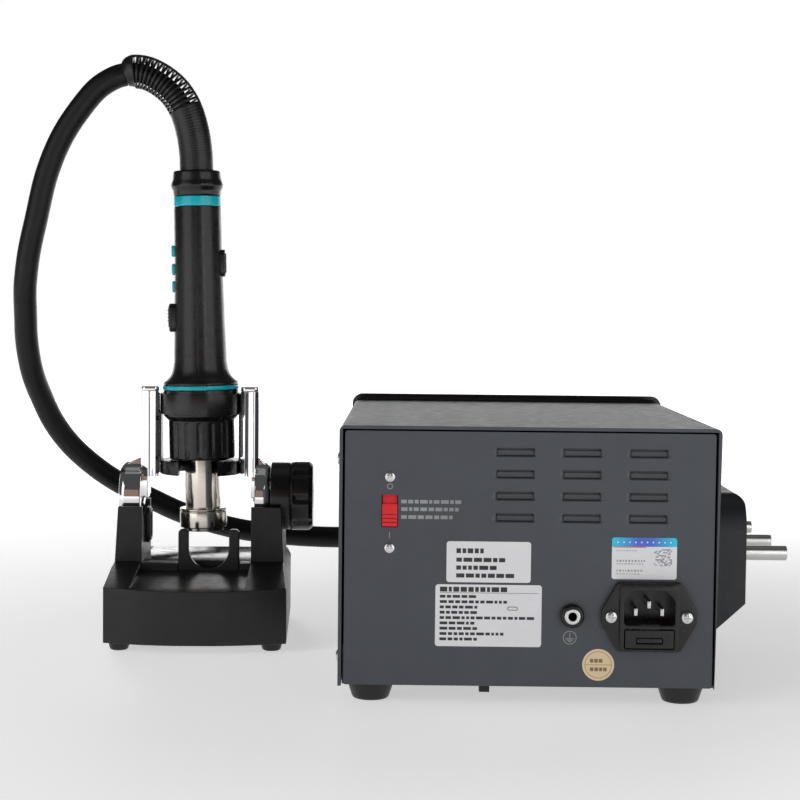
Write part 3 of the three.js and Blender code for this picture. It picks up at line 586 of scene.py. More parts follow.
def cross_screw(name, radius, height, shank=1.2, length=2.0):
    """A domed screw with a cross recess: its head stands on z = 0 and its shank goes down."""
    dome = [(0, height)]
    for k in range(1, 9):
        turn = math.pi / 2 * k / 8
        dome.append((radius * math.sin(turn), height * (0.25 + 0.75 * math.cos(turn))))
    head = turned(name, [*dome, (radius, 0), (shank, 0), (shank, -length), (0, -length)], 48, soften=0.12)
    arm, blade, floor = radius * 0.62, radius * 0.1, height * 0.35
    slots = [box_piece("slot", (-arm, arm), (-blade, blade), (floor, height + 1)),
             box_piece("slot", (-blade, blade), (-arm, arm), (floor, height + 1))]
    pit = turned("pit", [(0, floor - height * 0.2), (blade * 2.4, height + 0.1), (0, height + 0.1)], 24,
        soften=0)
    return softened(combined(head, [*slots, pit]), 0.06, 2, 50)


FACING = {                             # turns a piece's +z to point out of that side
    "rear": (90, "X"), "front": (-90, "X"), "left": (-90, "Y"), "right": (90, "Y"), "top": (0, "X"),
}


def greeked_lines(name, x_range, rows, y, rng, depth=0.03, word=(1.6, 5.0), gap=0.8):
    """Rows of short bars that stand for small print.

    Each row is (height of its middle, bar height, share filled).
    """
    bars = []
    for z, height, share in rows:
        x = x_range[0]
        end = x_range[0] + (x_range[1] - x_range[0]) * share
        while x < end - word[0]:
            width = min(rng.uniform(*word), end - x)
            bars.append(box_piece("bar", (x, x + width), (y - depth, y), (z - height / 2, z + height / 2)))
            x += width + gap
    return joined(name, bars)


# ---------------------------------------------------------------- rear panel

PANEL_FACE = (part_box("rear_panel")[0].y - COVER_LOW.y) / MM
PANEL_BACK = PANEL_FACE + 1.5
PANEL_HALF = 97.9
PANEL_Z = (10.3, 145.8)
INLET_X, INLET_Z = 63.8, 48.6
JACK_X, JACK_Z = 23.2, 48.7
SWITCH_X, SWITCH_Z = -74.05, 103.3
SWITCH_SCREWS = (121.4, 83.6)
LOUVRE_FIRST = (-7.8, 135.2)
LOUVRE_PITCH = (35.3, 11.6)


def louvre_places():
    return [(LOUVRE_FIRST[0] + LOUVRE_PITCH[0] * column, LOUVRE_FIRST[1] - LOUVRE_PITCH[1] * row)
            for column in range(3) for row in range(4)]


LOUVRE_RIM = (24.2, 5.4, 2.2)          # width, height and corner radius where it leaves the sheet
LOUVRE_WALL = [                        # the same three, and the depth behind the panel's face
    (22.8, 4.95, 1.8, 0.08),
    (21.2, 4.5, 1.4, 0.4),
    (20.0, 4.15, 1.0, 0.95),
    (19.4, 3.95, 0.6, 1.6),
    (19.3, 3.85, 0.5, 3.6),
]


def louvre_dish(x, z):
    """The pressed-in wall round one louvre, closed behind."""
    width, height, radius = LOUVRE_RIM
    loops = [(width, height, radius, 0)] + LOUVRE_WALL
    back = [(width, height, radius, 4.2), (width, height, radius, 1.5)]
    points = []
    for w, h, r, depth in loops + back:
        points += [(u, PANEL_FACE + depth, v) for u, v in rectangle(x, z, w, h, r)]
    size = len(rectangle(x, z, width, height, radius))
    rings = len(loops) + len(back)
    faces = []
    for i in range(rings - 1):
        if i == len(loops) - 1:
            continue
        for k in range(size):
            j = (k + 1) % size
            faces.append((i * size + k, i * size + j, (i + 1) * size + j, (i + 1) * size + k))
    last = (rings - 1) * size
    faces += [(k, (k + 1) % size, last + (k + 1) % size, last + k) for k in range(size)]
    faces.append(tuple((len(loops) - 1) * size + k for k in range(size)))
    faces.append(tuple(len(loops) * size + k for k in range(size)))
    return from_points("louvre", points, faces)


def louvre_blade(x, z):
    """The strip left standing inside a louvre, with its ends bent up to the sheet."""
    face = [(-9.6, 1.1), (-8.5, 2.3), (8.5, 2.3), (9.6, 1.1)]
    strip = [(x + u, v) for u, v in face] + [(x + u, v + 0.9) for u, v in reversed(face)]
    half = 1.25
    z -= 0.4
    points = [(u, PANEL_FACE + v, z - half) for u, v in rounded(strip, 0.4)]
    points += [(u, PANEL_FACE + v, z + half) for u, v in rounded(strip, 0.4)]
    count = len(points) // 2
    faces = [tuple(range(count)), tuple(range(count, 2 * count))]
    faces += [(k, (k + 1) % count, count + (k + 1) % count, count + k) for k in range(count)]
    return from_points("blade", points, faces)


def make_rear_panel():
    width, height, radius = LOUVRE_RIM
    holes = [rectangle(x, z, width, height, radius) for x, z in louvre_places()]
    holes.append(rectangle(INLET_X, INLET_Z, 30.8, 36, 2))
    holes.append(circle(JACK_X, JACK_Z, 5.2))
    holes.append(rectangle(SWITCH_X, SWITCH_Z, 8.9, 17.4, 0.8))
    holes += [circle(SWITCH_X, z, 1.5, 24) for z in SWITCH_SCREWS]
    outline = rectangle(0, sum(PANEL_Z) / 2, 2 * PANEL_HALF, PANEL_Z[1] - PANEL_Z[0], 1.2)
    sheet = plate("rear_sheet", [outline, *holes], PANEL_FACE, PANEL_BACK)
    on_case(sheet, "powder_coat", ["rear_panel"], "powder_coat")
    dishes = joined("rear_louvres", [louvre_dish(x, z) for x, z in louvre_places()])
    on_case(dishes, "powder_coat", slot="powder_coat")
    blades = joined("rear_louvre_blades", [louvre_blade(x, z) for x, z in louvre_places()])
    on_case(blades, "powder_coat", slot="powder_coat")


LABEL_THICK = 0.12
LABEL_FACE = PANEL_FACE - LABEL_THICK
INK_ON_LABEL = (LABEL_FACE - 0.03, LABEL_FACE)


def label(name, x, z, radius, look):
    middle = ((x[0] + x[1]) / 2, (z[0] + z[1]) / 2)
    sticker = plate(name, [rectangle(*middle, x[1] - x[0], z[1] - z[0], radius)], LABEL_FACE, PANEL_FACE)
    return on_case(sticker, look)


def make_labels():
    rng = random.Random(4)
    label("upper_label", (-43.7, 1.0), (65.8, 87.6), 1.5, "label_paper")
    rows = [(82.6, 2.6, 0.45), (77.8, 2.2, 0.75), (73.6, 2.2, 0.62), (69.4, 2.2, 0.9)]
    lines = greeked_lines("upper_label_print", (-38.5, -4.0), rows, LABEL_FACE, rng)
    on_case(lines, "label_ink")

    label("rating_label", (-49.4, 7.0), (31.5, 64.6), 1.6, "label_paper")
    rows = [(62.0, 2.6, 0.68)] + [(58.2 - 2.85 * k, 1.5, 0.38 + 0.3 * (k % 3 == 1)) for k in range(9)]
    rows[5] = (rows[5][0], 1.5, 0.98)
    lines = greeked_lines("rating_label_print", (-47.0, 5.4), rows, LABEL_FACE, rng, word=(1.4, 4.2))
    on_case(lines, "label_ink")
    rule = box_piece("rating_label_rule", (-47.0, 5.4), INK_ON_LABEL, (60.05, 60.25))
    on_case(rule, "label_ink")
    fuse = plate("rating_label_fuse", [rectangle(-8.4, 52.0, 5.6, 2.0, 0.95),
        rectangle(-8.4, 52.0, 4.9, 1.3, 0.6)], *INK_ON_LABEL)
    on_case(fuse, "label_ink")
    make_seal_label(rng)
    make_inspection_sticker(rng)


def make_seal_label(rng):
    x, z = (43.8, 78.2), (68.4, 90.6)
    label("seal_label", x, z, 1.4, "label_paper")
    LOOKS["seal_foil"] = seal_foil()
    band_z = 85.8
    arc = [p for p in rectangle(61.0, 79.5, 34.4, 22.2, 1.4) if p[1] > band_z]
    band = plate("seal_label_band", [[(x[1], band_z), *arc, (x[0], band_z)]], *INK_ON_LABEL)
    on_case(band, "seal_foil")
    dots = [plate("dot", [circle(47.0 + 3.1 * k, 88.1, 0.45, 16)], LABEL_FACE - 0.05,
        LABEL_FACE) for k in range(10)]
    on_case(joined("seal_label_dots", dots), "label_paper")
    line = box_piece("seal_label_line", (x[0] + 0.6, 62.0), INK_ON_LABEL, (85.3, 85.75))
    on_case(line, "red_plastic")
    rows = [(83.6, 0.5, 0.6), (78.2, 1.0, 0.85), (76.6, 0.6, 0.8), (73.0, 1.0, 0.75), (71.2, 0.5, 0.7)]
    lines = greeked_lines("seal_label_print", (46.4, 64.5), rows, LABEL_FACE, rng, word=(0.5, 1.2), gap=0.7)
    on_case(lines, "faint_ink")
    cells = []
    for column in range(12):
        for row in range(12):
            if rng.random() < 0.5:
                u, v = 66.0 + 0.8 * column, 75.6 + 0.75 * row
                cells.append(box_piece("cell", (u, u + 0.8), INK_ON_LABEL, (v, v + 0.75)))
    on_case(joined("seal_label_pattern", cells), "faint_ink")


def seal_foil():
    """Foil whose colour runs from cyan through blue and back along x."""
    material = bpy.data.materials.new("seal_foil")
    material.use_nodes = True
    tree = material.node_tree
    shader = tree.nodes["Principled BSDF"]
    shader.inputs["Metallic"].default_value = 0.3
    shader.inputs["Roughness"].default_value = 0.25
    split = node(tree, "ShaderNodeSeparateXYZ")
    tree.links.new(node(tree, "ShaderNodeTexCoord").outputs["Object"], split.inputs["Vector"])
    spread = node(tree, "ShaderNodeMapRange")
    spread.inputs["From Min"].default_value = (STATION @ Vector((43.8, 0, 0))).x
    spread.inputs["From Max"].default_value = (STATION @ Vector((78.2, 0, 0))).x
    tree.links.new(split.outputs["X"], spread.inputs["Value"])
    ramp = node(tree, "ShaderNodeValToRGB")
    cyan, blue = (0.02, 0.62, 0.85, 1), (0.08, 0.16, 0.62, 1)
    ramp.color_ramp.elements[0].color = cyan
    ramp.color_ramp.elements[1].color = cyan
    for at in (0.4, 0.62):
        ramp.color_ramp.elements.new(at).color = blue
    tree.links.new(spread.outputs["Result"], ramp.inputs["Fac"])
    tree.links.new(ramp.outputs["Color"], shader.inputs["Base Color"])
    return material


def make_inspection_sticker(rng):
    x, z, radius = 37.5, 22.4, 8.5
    disc = plate("round_sticker", [circle(x, z, radius, 64)], LABEL_FACE, PANEL_FACE)
    on_case(disc, "cream_paper")
    ring = plate("ring", [circle(x, z, 7.2, 64), circle(x, z, 6.95, 64)], *INK_ON_LABEL)
    bar = box_piece("bar", (x - 6.9, x + 6.9), INK_ON_LABEL, (z - 0.12, z + 0.12))
    rows = greeked_lines("rows", (x - 4.4, x + 4.6), [(z + 2.2, 2.0, 0.8), (z - 2.4, 2.0, 1.0)], LABEL_FACE,
        rng, word=(1.6, 2.0), gap=0.5)
    on_case(joined("round_sticker_print", [ring, bar, rows]), "brown_ink")


def make_panel_print():
    """The earth symbol under the jack, and marks beside the memory switch."""
    rng = random.Random(9)
    y = (PANEL_FACE - 0.03, PANEL_FACE)
    x, z = JACK_X - 1.0, 36.8
    earth = [plate("ring", [circle(x, z, 3.6, 48), circle(x, z, 3.25, 48)], *y)]
    earth.append(box_piece("stem", (x - 0.2, x + 0.2), y, (z - 0.4, z + 2.6)))
    for k, half in enumerate((2.3, 1.6, 0.8)):
        earth.append(box_piece("bar", (x - half, x + half), y, (z - 0.8 - 0.75 * k, z - 0.45 - 0.75 * k)))
    on_case(joined("earth_mark", earth), "panel_ink")
    off = plate("mark", [circle(SWITCH_X, 116.4, 1.6, 32), circle(SWITCH_X, 116.4, 1.15, 32)], *y)
    on = box_piece("mark", (SWITCH_X - 0.25, SWITCH_X + 0.25), y, (88.9, 92.1))
    rows = [(108.4, 1.9, 1.0), (104.4, 1.9, 0.98), (100.2, 1.9, 0.85)]
    legend = greeked_lines("legend", (-68.0, -36.0), rows, PANEL_FACE, rng, word=(1.6, 4.4))
    on_case(joined("switch_marks", [off, on, legend]), "panel_ink")


# ---------------------------------------------------------------- rear fittings

def make_memory_switch():
    keep_node("memory_switch_frame", "black_plastic", 0.2)
    body = box_piece("slider", (SWITCH_X - 3.9, SWITCH_X + 3.9), (PANEL_BACK + 0.1, 7), (89.8, 112.6), 0.15)
    face = box_piece("slider", (SWITCH_X - 4.0, SWITCH_X + 4.0), (0.9, 3), (95.2, 107.2), 0.2)
    ridges = [box_piece("ridge", (SWITCH_X - 3.8, SWITCH_X + 3.8), (-0.35, 1.2), (z - 0.55, z + 0.55), 0.15)
              for z in (96.6, 98.7, 100.8)]
    slider = joined("memory_slider_red", [body, face, *ridges])
    place(slider, STATION, "memory_slider", "red_plastic", ["memory_slider"], "red_plastic")
    for i, z in enumerate(SWITCH_SCREWS):
        screw = cross_screw(f"switch_screw_head_{i + 1}", 2.75, 1.2)
        moved(screw, SWITCH_X, PANEL_FACE - 0.05, z, FACING["rear"])
        on_case(screw, "screw_steel", [f"switch_screw_{i + 1}"], "screw_steel")


INLET_SCREW = 20
EAR_FACE = -1.9
INLET_FACE = -3.8


def inlet_point(points):
    return [(INLET_X + u, INLET_Z + v) for u, v in points]


def socket_outline(grow=0.0):
    half, low, high, chamfer = 13.5 + grow, -3.9 - grow, 14.3 + grow, 5.0
    return inlet_point(rounded([
        (-half, low), (half, low), (half, high - chamfer), (half - chamfer, high), (chamfer - half, high),
        (-half, high - chamfer)], 1.6, 4))


def make_inlet():
    ears = inlet_point(rounded([
        (-16.7, -18.5), (16.7, -18.5), (25.2, -3.5), (25.2, 3.5), (16.7, 18.5),
        (-16.7, 18.5), (-25.2, 3.5), (-25.2, -3.5)], 1.5, 5))
    drawer_gap = inlet_point(rectangle(0, -11.35, 26.4, 10.4, 0.8))
    notch = inlet_point(rectangle(0, -5.0, 10.4, 3.0, 0.4))
    ear_holes = [circle(INLET_X + side * INLET_SCREW, INLET_Z, 1.9, 32) for side in (-1, 1)]
    flange = plate("flange", [ears, socket_outline(), drawer_gap, *ear_holes], EAR_FACE, PANEL_FACE - 0.05,
        edge=0.3)
    frame_loop = inlet_point(rectangle(0, 0, 31.4, 36.4, 3.4))
    raised = plate("raised", [frame_loop, socket_outline(), drawer_gap], INLET_FACE, EAR_FACE + 0.3,
        edge=0.45)
    lining = plate("lining", [socket_outline(1.0), socket_outline(-0.05)], INLET_FACE + 0.8, 14.5)
    floor = plate("floor", [socket_outline(1.0)], 14, 15)
    back = plate("back", [inlet_point(rectangle(0, 0, 30.2, 35.4, 1)),
        inlet_point(rectangle(0, 0, 28.2, 33.4, 1))], PANEL_FACE - 0.2, 24)
    tab = plate("tab", [notch], INLET_FACE + 0.2, INLET_FACE + 1.2, edge=0.15)
    body = joined("inlet_body", [flange, raised, lining, floor, back, tab])
    on_case(body, "black_plastic", ["iec_inlet"], "black_plastic")
    pins = []
    for x, z in ((0, 6.5), (-7, 2.5), (7, 2.5)):
        pins.append(box_piece("pin", (INLET_X + x - 1, INLET_X + x + 1), (-0.6, 14.2),
                              (INLET_Z + z - 2, INLET_Z + z + 2), 0.35))
    on_case(joined("inlet_pins", pins), "screw_steel")
    for side, word in ((-1, "left"), (1, "right")):
        screw = cross_screw(f"inlet_screw_head_{word}", 3.2, 1.5)
        moved(screw, INLET_X + side * INLET_SCREW, EAR_FACE - 0.02, INLET_Z, FACING["rear"])
        on_case(screw, "screw_steel", [f"inlet_screw_{word}"], "screw_steel")
        seat = turned("seat", [(3.3, 0), (3.9, 0), (3.9, 0.35), (3.3, 0.35)], 48, soften=0.1)
        moved(seat, INLET_X + side * INLET_SCREW, EAR_FACE, INLET_Z, FACING["rear"])
        seat.name = f"inlet_screw_seat_{word}"
        on_case(seat, "black_plastic")


def make_fuse_drawer():
    low, high, half = INLET_Z - 16.2, INLET_Z - 6.5, 12.8
    middle = (low + high) / 2
    front = plate("front", [inlet_point(rectangle(0, -11.35, 2 * half, 9.7, 0.6)),
                            inlet_point(rectangle(0, -12.2, 14.2, 3.2, 0.4))], INLET_FACE - 0.3, -1, edge=0.2)
    pull = plate("pull", [inlet_point(rectangle(0, -12.2, 13.2, 2.3, 0.3))], INLET_FACE + 0.1, -0.8,
        edge=0.15)
    backing = plate("backing", [inlet_point(rectangle(0, -11.35, 24.4, 8.6, 0.5))], -1.2, 3)
    tray = box_piece("tray", (INLET_X - 12.3, INLET_X + 12.3), (2.8, 17), (low + 0.3, low + 2.4), 0.2)
    walls = [box_piece("wall", (INLET_X + side * 11.4 - 0.8, INLET_X + side * 11.4 + 0.8), (2.8, 17),
                       (low + 0.3, high - 0.4), 0.2) for side in (-1, 1)]
    drawer = joined("fuse_drawer_shell", [front, pull, backing, tray, *walls])
    place(drawer, STATION, "fuse_drawer", "black_plastic", ["fuse_drawer"], "black_plastic")
    glass = turned("fuse", [(0, -9), (2.4, -9), (2.4, 9), (0, 9)], 32, soften=0.3)
    moved(glass, INLET_X, 9, middle + 0.3, turn=(90, "Y"))
    glass.name = "spare_fuse"
    place(glass, STATION, "fuse_drawer", "screw_steel")


def make_ground_jack():
    shell = turned("jack_shell", [(4.4, -3.0), (5.4, -3.0), (6.35, -1.9), (6.35, 0.9), (4.9, 0.9),
        (4.9, 16), (4.4, 16)], 64, soften=0.35)
    moved(shell, JACK_X, 0, JACK_Z, turn=(-90, "X"))
    on_case(shell, "black_plastic", ["ground_jack"], "black_plastic")
    sleeve = turned("jack_contact", [(2.3, -3.6), (3.9, -3.6), (4.35, -3.1), (4.35, 15), (2.3, 15)], 64,
        soften=0.25)
    moved(sleeve, JACK_X, 0, JACK_Z, turn=(-90, "X"))
    on_case(sleeve, "screw_steel")


COVER_SCREWS = [(-1, 130), (-1, 23.6), (1, 130)]
CASE_HALF = 101


def make_case():
    keep_node("case_cover", "powder_coat", 0.35)
    keep_node("chassis_pan", "black_paint", 0.3)
    for i, (side, z) in enumerate(COVER_SCREWS):
        screw = cross_screw(f"cover_screw_head_{i + 1}", 3.3, 1.5)
        moved(screw, side * (CASE_HALF + 0.02), 12, z, FACING["left" if side < 0 else "right"])
        on_case(screw, "screw_steel", [f"cover_screw_{i + 1}"], "screw_steel")
    number = 0
    for y in (18, 222):
        for x in (-83.7, 83.7):
            number += 1
            foot = turned(f"case_rubber_foot_{number}", [
                (0, 1.2), (3.4, 1.2), (4.2, 0), (9, 0), (10, 1), (13, 10), (0, 10)], 64, soften=0.5)
            moved(foot, x, y)
            on_case(foot, "rubber", [f"case_foot_{number}"], "rubber")


def make_inside():
    keep_node("blower_housing", "satin_plastic", 0.4)
    keep_node("blower_impeller", "black_plastic", 0.3)
    keep_node("control_board", "circuit_board", 0.2)


# ---------------------------------------------------------------- front panel

BEZEL_FACE = 262
KNOBS = {"temperature_knob": (-20, 55), "airflow_knob": (30, 55)}


def seven_segments(digit, x, z, size):
    """Bars of one lit digit, about its middle. size is its height."""
    half_w, half_h, bar = size * 0.26, size / 2, size * 0.09
    spots = {
        "a": (0, half_h, 1), "g": (0, 0, 1), "d": (0, -half_h, 1),
        "f": (-half_w, half_h / 2, 0), "b": (half_w, half_h / 2, 0),
        "e": (-half_w, -half_h / 2, 0), "c": (half_w, -half_h / 2, 0),
    }
    lit = {"0": "abcdef", "3": "abgcd", "5": "afgcd", "6": "afgedc"}[digit]
    bars = []
    for name in lit:
        u, v, level = spots[name]
        w, h = (half_w * 1.5, bar) if level else (bar, half_h * 0.78)
        bars.append(plate("segment", [rectangle(x + u, z + v, w, h, bar * 0.3, 2)], BEZEL_FACE,
            BEZEL_FACE + 0.03))
    return bars


def lit_digits(name, color):
    material = plain(name, color, 0.4)
    shader = material.node_tree.nodes["Principled BSDF"]
    shader.inputs["Emission Color"].default_value = (*color, 1)
    shader.inputs["Emission Strength"].default_value = 0.8
    return material


def make_front():
    keep_node("front_bezel", "gloss_black", 0.9)
    keep_node("display_window", "display_glass", 0.2)
    keep_node("power_rocker", "black_plastic", 0.5)
    LOOKS["warm_digits"] = lit_digits("warm_digits", (0.9, 0.22, 0.05))
    LOOKS["cool_digits"] = lit_digits("cool_digits", (0.1, 0.75, 0.9))
    # Seen from the front the row runs towards -x, so the digits are laid out and then mirrored.
    for name, text, x, z, size, look in (("set_temperature", "350", 36, 118, 24, "warm_digits"),
                                         ("set_airflow", "60", 50, 98, 11, "cool_digits")):
        bars = []
        for k, digit in enumerate(text):
            bars += seven_segments(digit, x + k * size * 0.75, z, size)
        digits = joined(name, bars)
        digits.data.transform(Matrix.Diagonal((-1, 1, 1, 1)))
        digits.data.flip_normals()
        moved(digits, x=36)
        on_case(digits, look)
    for name, (x, z) in KNOBS.items():
        make_front_knob(name, x, z)
    nut = turned("gland_nut", [(4.5, 246), (8, 246), (8, 262.3), (15, 262.3), (15, 265.4), (12.3, 266),
        (12.3, 273.6), (9.6, 274.6), (8.2, 284), (4.5, 284)], 96, soften=0.5,
        wave=lambda turn, z: 0.5 * math.cos(turn * 16) ** 2 - 0.5 if 266.2 < z < 273.5 else 0)
    moved(nut, -74, 0, 45, turn=(-90, "X"))
    on_case(nut, "black_plastic", ["hose_gland"], "black_plastic")


def make_front_knob(name, x, z):
    body = turned(f"{name}_cap", [(0, -11), (3, -11), (3, 0.6), (11.5, 0.6), (11.5, 4), (10.2, 5),
        (9.5, 15), (8.8, 16), (6.5, 16), (6.2, 15.5), (0, 15.5)], 144, soften=0.35,
        wave=lambda turn, h: -0.35 * abs(math.sin(turn * 12)) if 5.2 < h < 14.8 else 0)
    moved(body, x, BEZEL_FACE, z, turn=(-90, "X"))
    place(body, STATION, name, "black_plastic", [name], "black_plastic")
    line = box_piece(f"{name}_pointer", (x - 0.4, x + 0.4), (BEZEL_FACE + 15.7, BEZEL_FACE + 16),
        (z + 3.2, z + 8.4))
    place(line, STATION, name, "label_paper")
    ticks = []
    for k in range(11):
        turn = math.radians(-135 + 27 * k)
        dot = circle(x + 14.6 * math.sin(turn), z + 14.6 * math.cos(turn), 0.35 + 0.3 * (k % 5 == 0), 16)
        ticks.append(plate("tick", [dot], BEZEL_FACE, BEZEL_FACE + 0.03))
    on_case(joined(f"{name}_scale", ticks), "label_paper")


# ---------------------------------------------------------------- nozzle rack

NOZZLE_Z = 72
NOZZLES = [(82, 4.2, 152.8), (134, 3.8, 154.2), (201, 3.8, 155)]


def make_rack():
    keep_node("nozzle_rack", "rack_plastic", 0.5, 30)
    for i, (y, radius, end) in enumerate(NOZZLES):
        profile = [(7, 105), (13, 105), (13, 115), (11, 117), (radius + 0.3, 124.3), (radius, 126),
            (radius, end), (radius - 0.8, end), (radius - 0.8, 124), (7, 115)]
        tip = turned(f"nozzle_{i + 1}_steel", profile, 96, soften=0.35)
        moved(tip, 0, y, NOZZLE_Z, turn=(90, "Y"))
        place(tip, STATION, f"stored_nozzle_{i + 1}", "tube_steel", [f"stored_nozzle_{i + 1}"], "steel")


make_case()
make_rear_panel()
make_labels()
make_panel_print()
make_memory_switch()
make_inlet()
make_fuse_drawer()
make_ground_jack()
make_inside()
make_front()
make_rack()


# ---------------------------------------------------------------- stand

CUP_X = -1.5
ARM_INNER, ARM_OUTER = 26.5, 38.1      # distances from the cup's middle
ARM_Z = (99, 157.6)


def make_stand_base():
    keep_node("stand_base", "black_paint", 1.1, 30)
    keep_node("nozzle_fork", "black_paint", 0.7, 40)
    deck = box_piece("deck", (-36.5, 32.7), (-22.5, 43.5), (45.9, 46.15), 0.05)
    place(deck, STAND, "root", "deck_paint")
    number = 0
    for y in (-82, 36):
        for x in (-44, 49):
            number += 1
            foot = turned(f"stand_rubber_foot_{number}", [
                (0, 0.9), (2, 0.9), (2.5, 0), (4.6, 0), (5.6, 0.7), (6.8, 5.1), (0, 5.1)], 64, soften=0.7)
            moved(foot, x, y)
            place(foot, STAND, "root", "rubber", [f"stand_foot_{number}"], "rubber")
    low, high = -36.5, -33.4
    pad = plate("stop_pad_rubber", [rectangle(0, 66.7, 16, 23, 3.4)], low, high - 0.7, along="x", edge=0.4)
    loop = plate("loop", [rectangle(0, 66.7, 13.4, 20.4, 2.8), rectangle(0, 66.7, 9, 16, 1.8)], high - 1.2,
        high, along="x", edge=0.3)
    place(joined("stop_pad", [pad, loop]), STAND, "root", "rubber", ["stand_stop_pad"], "rubber")


def arm_section(left_wide, left_deep, groove, ridge, right_deep):
    """Half the outline of an upright, seen from above with its left end first, from middle to front.

    A wide chamfer turned to the left, a shallow hollow, a flat ridge and a chamfer turned to the right.
    """
    width = ARM_OUTER - ARM_INNER
    points = [(0, -10.8 + left_deep), (left_wide, -10.8)]
    for k in range(9):
        turn = math.pi * k / 8
        points.append((left_wide + 0.1 + (groove - 0.2) * k / 8, -10.8 + 1.3 * math.sin(turn) ** 0.6))
    points += [(left_wide + groove, -10.8), (left_wide + groove + ridge, -10.8), (width, -10.8 + right_deep)]
    return rounded(points, 0.25, 2, looped=False)


def arm_bar(left_edge, section):
    """One upright bar of the cradle, the same in front and behind, with a plain rounded top."""
    front = [(left_edge + u, v) for u, v in section]
    back = [(u, -v) for u, v in reversed(front)]
    hollowed = plate("bar", [[*front, *back]], ARM_Z[0], ARM_Z[1] - 3.2, along="z")
    middle = left_edge + (ARM_OUTER - ARM_INNER) / 2
    top = plate("top", [rectangle(middle, 0, ARM_OUTER - ARM_INNER, 21.2, 3.2, 8)], ARM_Z[1] - 3.4, ARM_Z[1],
                along="z", edge=0.9)
    return joined("upright", [hollowed, top])


def make_arm(side, name, section, disc_from, disc_to):
    left_edge = CUP_X + (-ARM_OUTER if side < 0 else ARM_INNER)
    bar = arm_bar(left_edge, section)
    disc = turned("disc", [(4.4, disc_from), (22, disc_from), (22, disc_to - 3), (19.8, disc_to),
        (4.4, disc_to)], 128, soften=1.2)
    moved(disc, CUP_X, 0, AXIS_Z, FACING["left" if side < 0 else "right"])
    shank = box_piece("shank", sorted((CUP_X + side * (disc_from + 2), CUP_X + side * 33.5)), (-9, 9),
                      (AXIS_Z - 1, ARM_Z[0] + 2), 0.6)
    slope = [(ARM_INNER + 6, 14), (ARM_INNER + 6, 25.2), (ARM_INNER + 12, 25.2), (disc_to - 2.6, 20.6),
        (disc_to - 2.6, 14)]
    shoulder = plate("shoulder", [rounded([(CUP_X + side * u, AXIS_Z + v) for u, v in slope], 1.5)], -7, 7,
        edge=0.8)
    arm = joined(f"{name}_chrome", [bar, disc, shank, shoulder])
    place(arm, STAND, "cradle", "chrome", [name], "chrome")


def make_cup():
    outer = ARM_INNER - 0.15
    floor = turned("floor", [(17, 100.5), (outer, 100.5), (outer, 109.5), (17, 109.5)], 128, soften=0.6)
    floor = combined(floor, [box_piece("opening", (-12.5, 12.5), (-30, 0), (90, 120))])
    collar_ring = turned("collar", [(25.1, 139.5), (outer, 139.5), (outer, 153), (25.1, 153)], 128,
        soften=0.3)
    legs = [box_piece("leg", sorted((side * (outer - 1.3), side * (outer - 0.1))), (-7, 7), (108, 141))
            for side in (-1, 1)]
    cup = moved(joined("cup_plastic", [floor, collar_ring, *legs]), CUP_X)
    place(cup, STAND, "cradle", "black_plastic", ["cradle_cup"], "black_plastic")


def make_clamp_knob():
    depth, half_angle, count = 1.5, math.radians(9), 8

    def flutes(turn, height):
        step = 2 * math.pi / count
        off = abs((turn + step / 2) % step - step / 2)
        if off > half_angle:
            return 0
        across = math.cos(off / half_angle * math.pi / 2) ** 1.2
        along = min(max((height - 59.2) / 2.6, 0), 1)
        return -depth * across * math.sin(along * math.pi / 2)

    side = [(22.4, 58.3 + 0.65 * k) for k in range(17)]
    cap = turned("cap", [(0, 33), (4, 33), (4, 44.8), (21.6, 44.8), (22, 45.2), (22, 57.1), (21.5, 57.4),
        (21.5, 57.8), *side, (22.4, 69.6), (20.4, 72.1), (9, 72.1), (8.6, 71.7), (0, 71.7)], 288,
        wave=lambda turn, h: flutes(turn, h) if 58.2 < h < 71.9 else 0, soften=0.25)
    moved(cap, 0, 0, AXIS_Z, FACING["right"])
    cap.name = "clamp_knob_plastic"
    place(cap, STAND, "clamp_knob", "black_plastic", ["clamp_knob"], "black_plastic")


# ---------------------------------------------------------------- handpiece

GRIP = [                               # radius and height up the grip
    (24.2, 158.7), (24.2, 160.2), (22.4, 161.4), (19.9, 163.8), (18, 167.9), (17.1, 174), (16.3, 200),
    (15.4, 242), (15.2, 273.8),
]
GRIP_WALL = 2.4
BUTTON_Z = (245.4, 233.6, 222.4)
THUMB = (193, 211.5)
BACK = (228.5, 246)


def grip_half(name, arc):
    outside = rounded(GRIP, 3.0, 6, looped=False)
    inside = [(min(r, 19) - GRIP_WALL, z) for r, z in reversed(GRIP)]
    half = turned(name, [*outside, *inside], 96, arc, soften=0.2)
    return softened(half, 0.22, 3, 50)


def side_pad(name, y_half, z_range, x_range, radius, edge):
    """A block with round corners that lies against the side of the grip."""
    middle = sum(z_range) / 2
    return plate(name, [rectangle(0, middle, 2 * y_half, z_range[1] - z_range[0], radius)], *x_range,
        along="x", edge=edge)


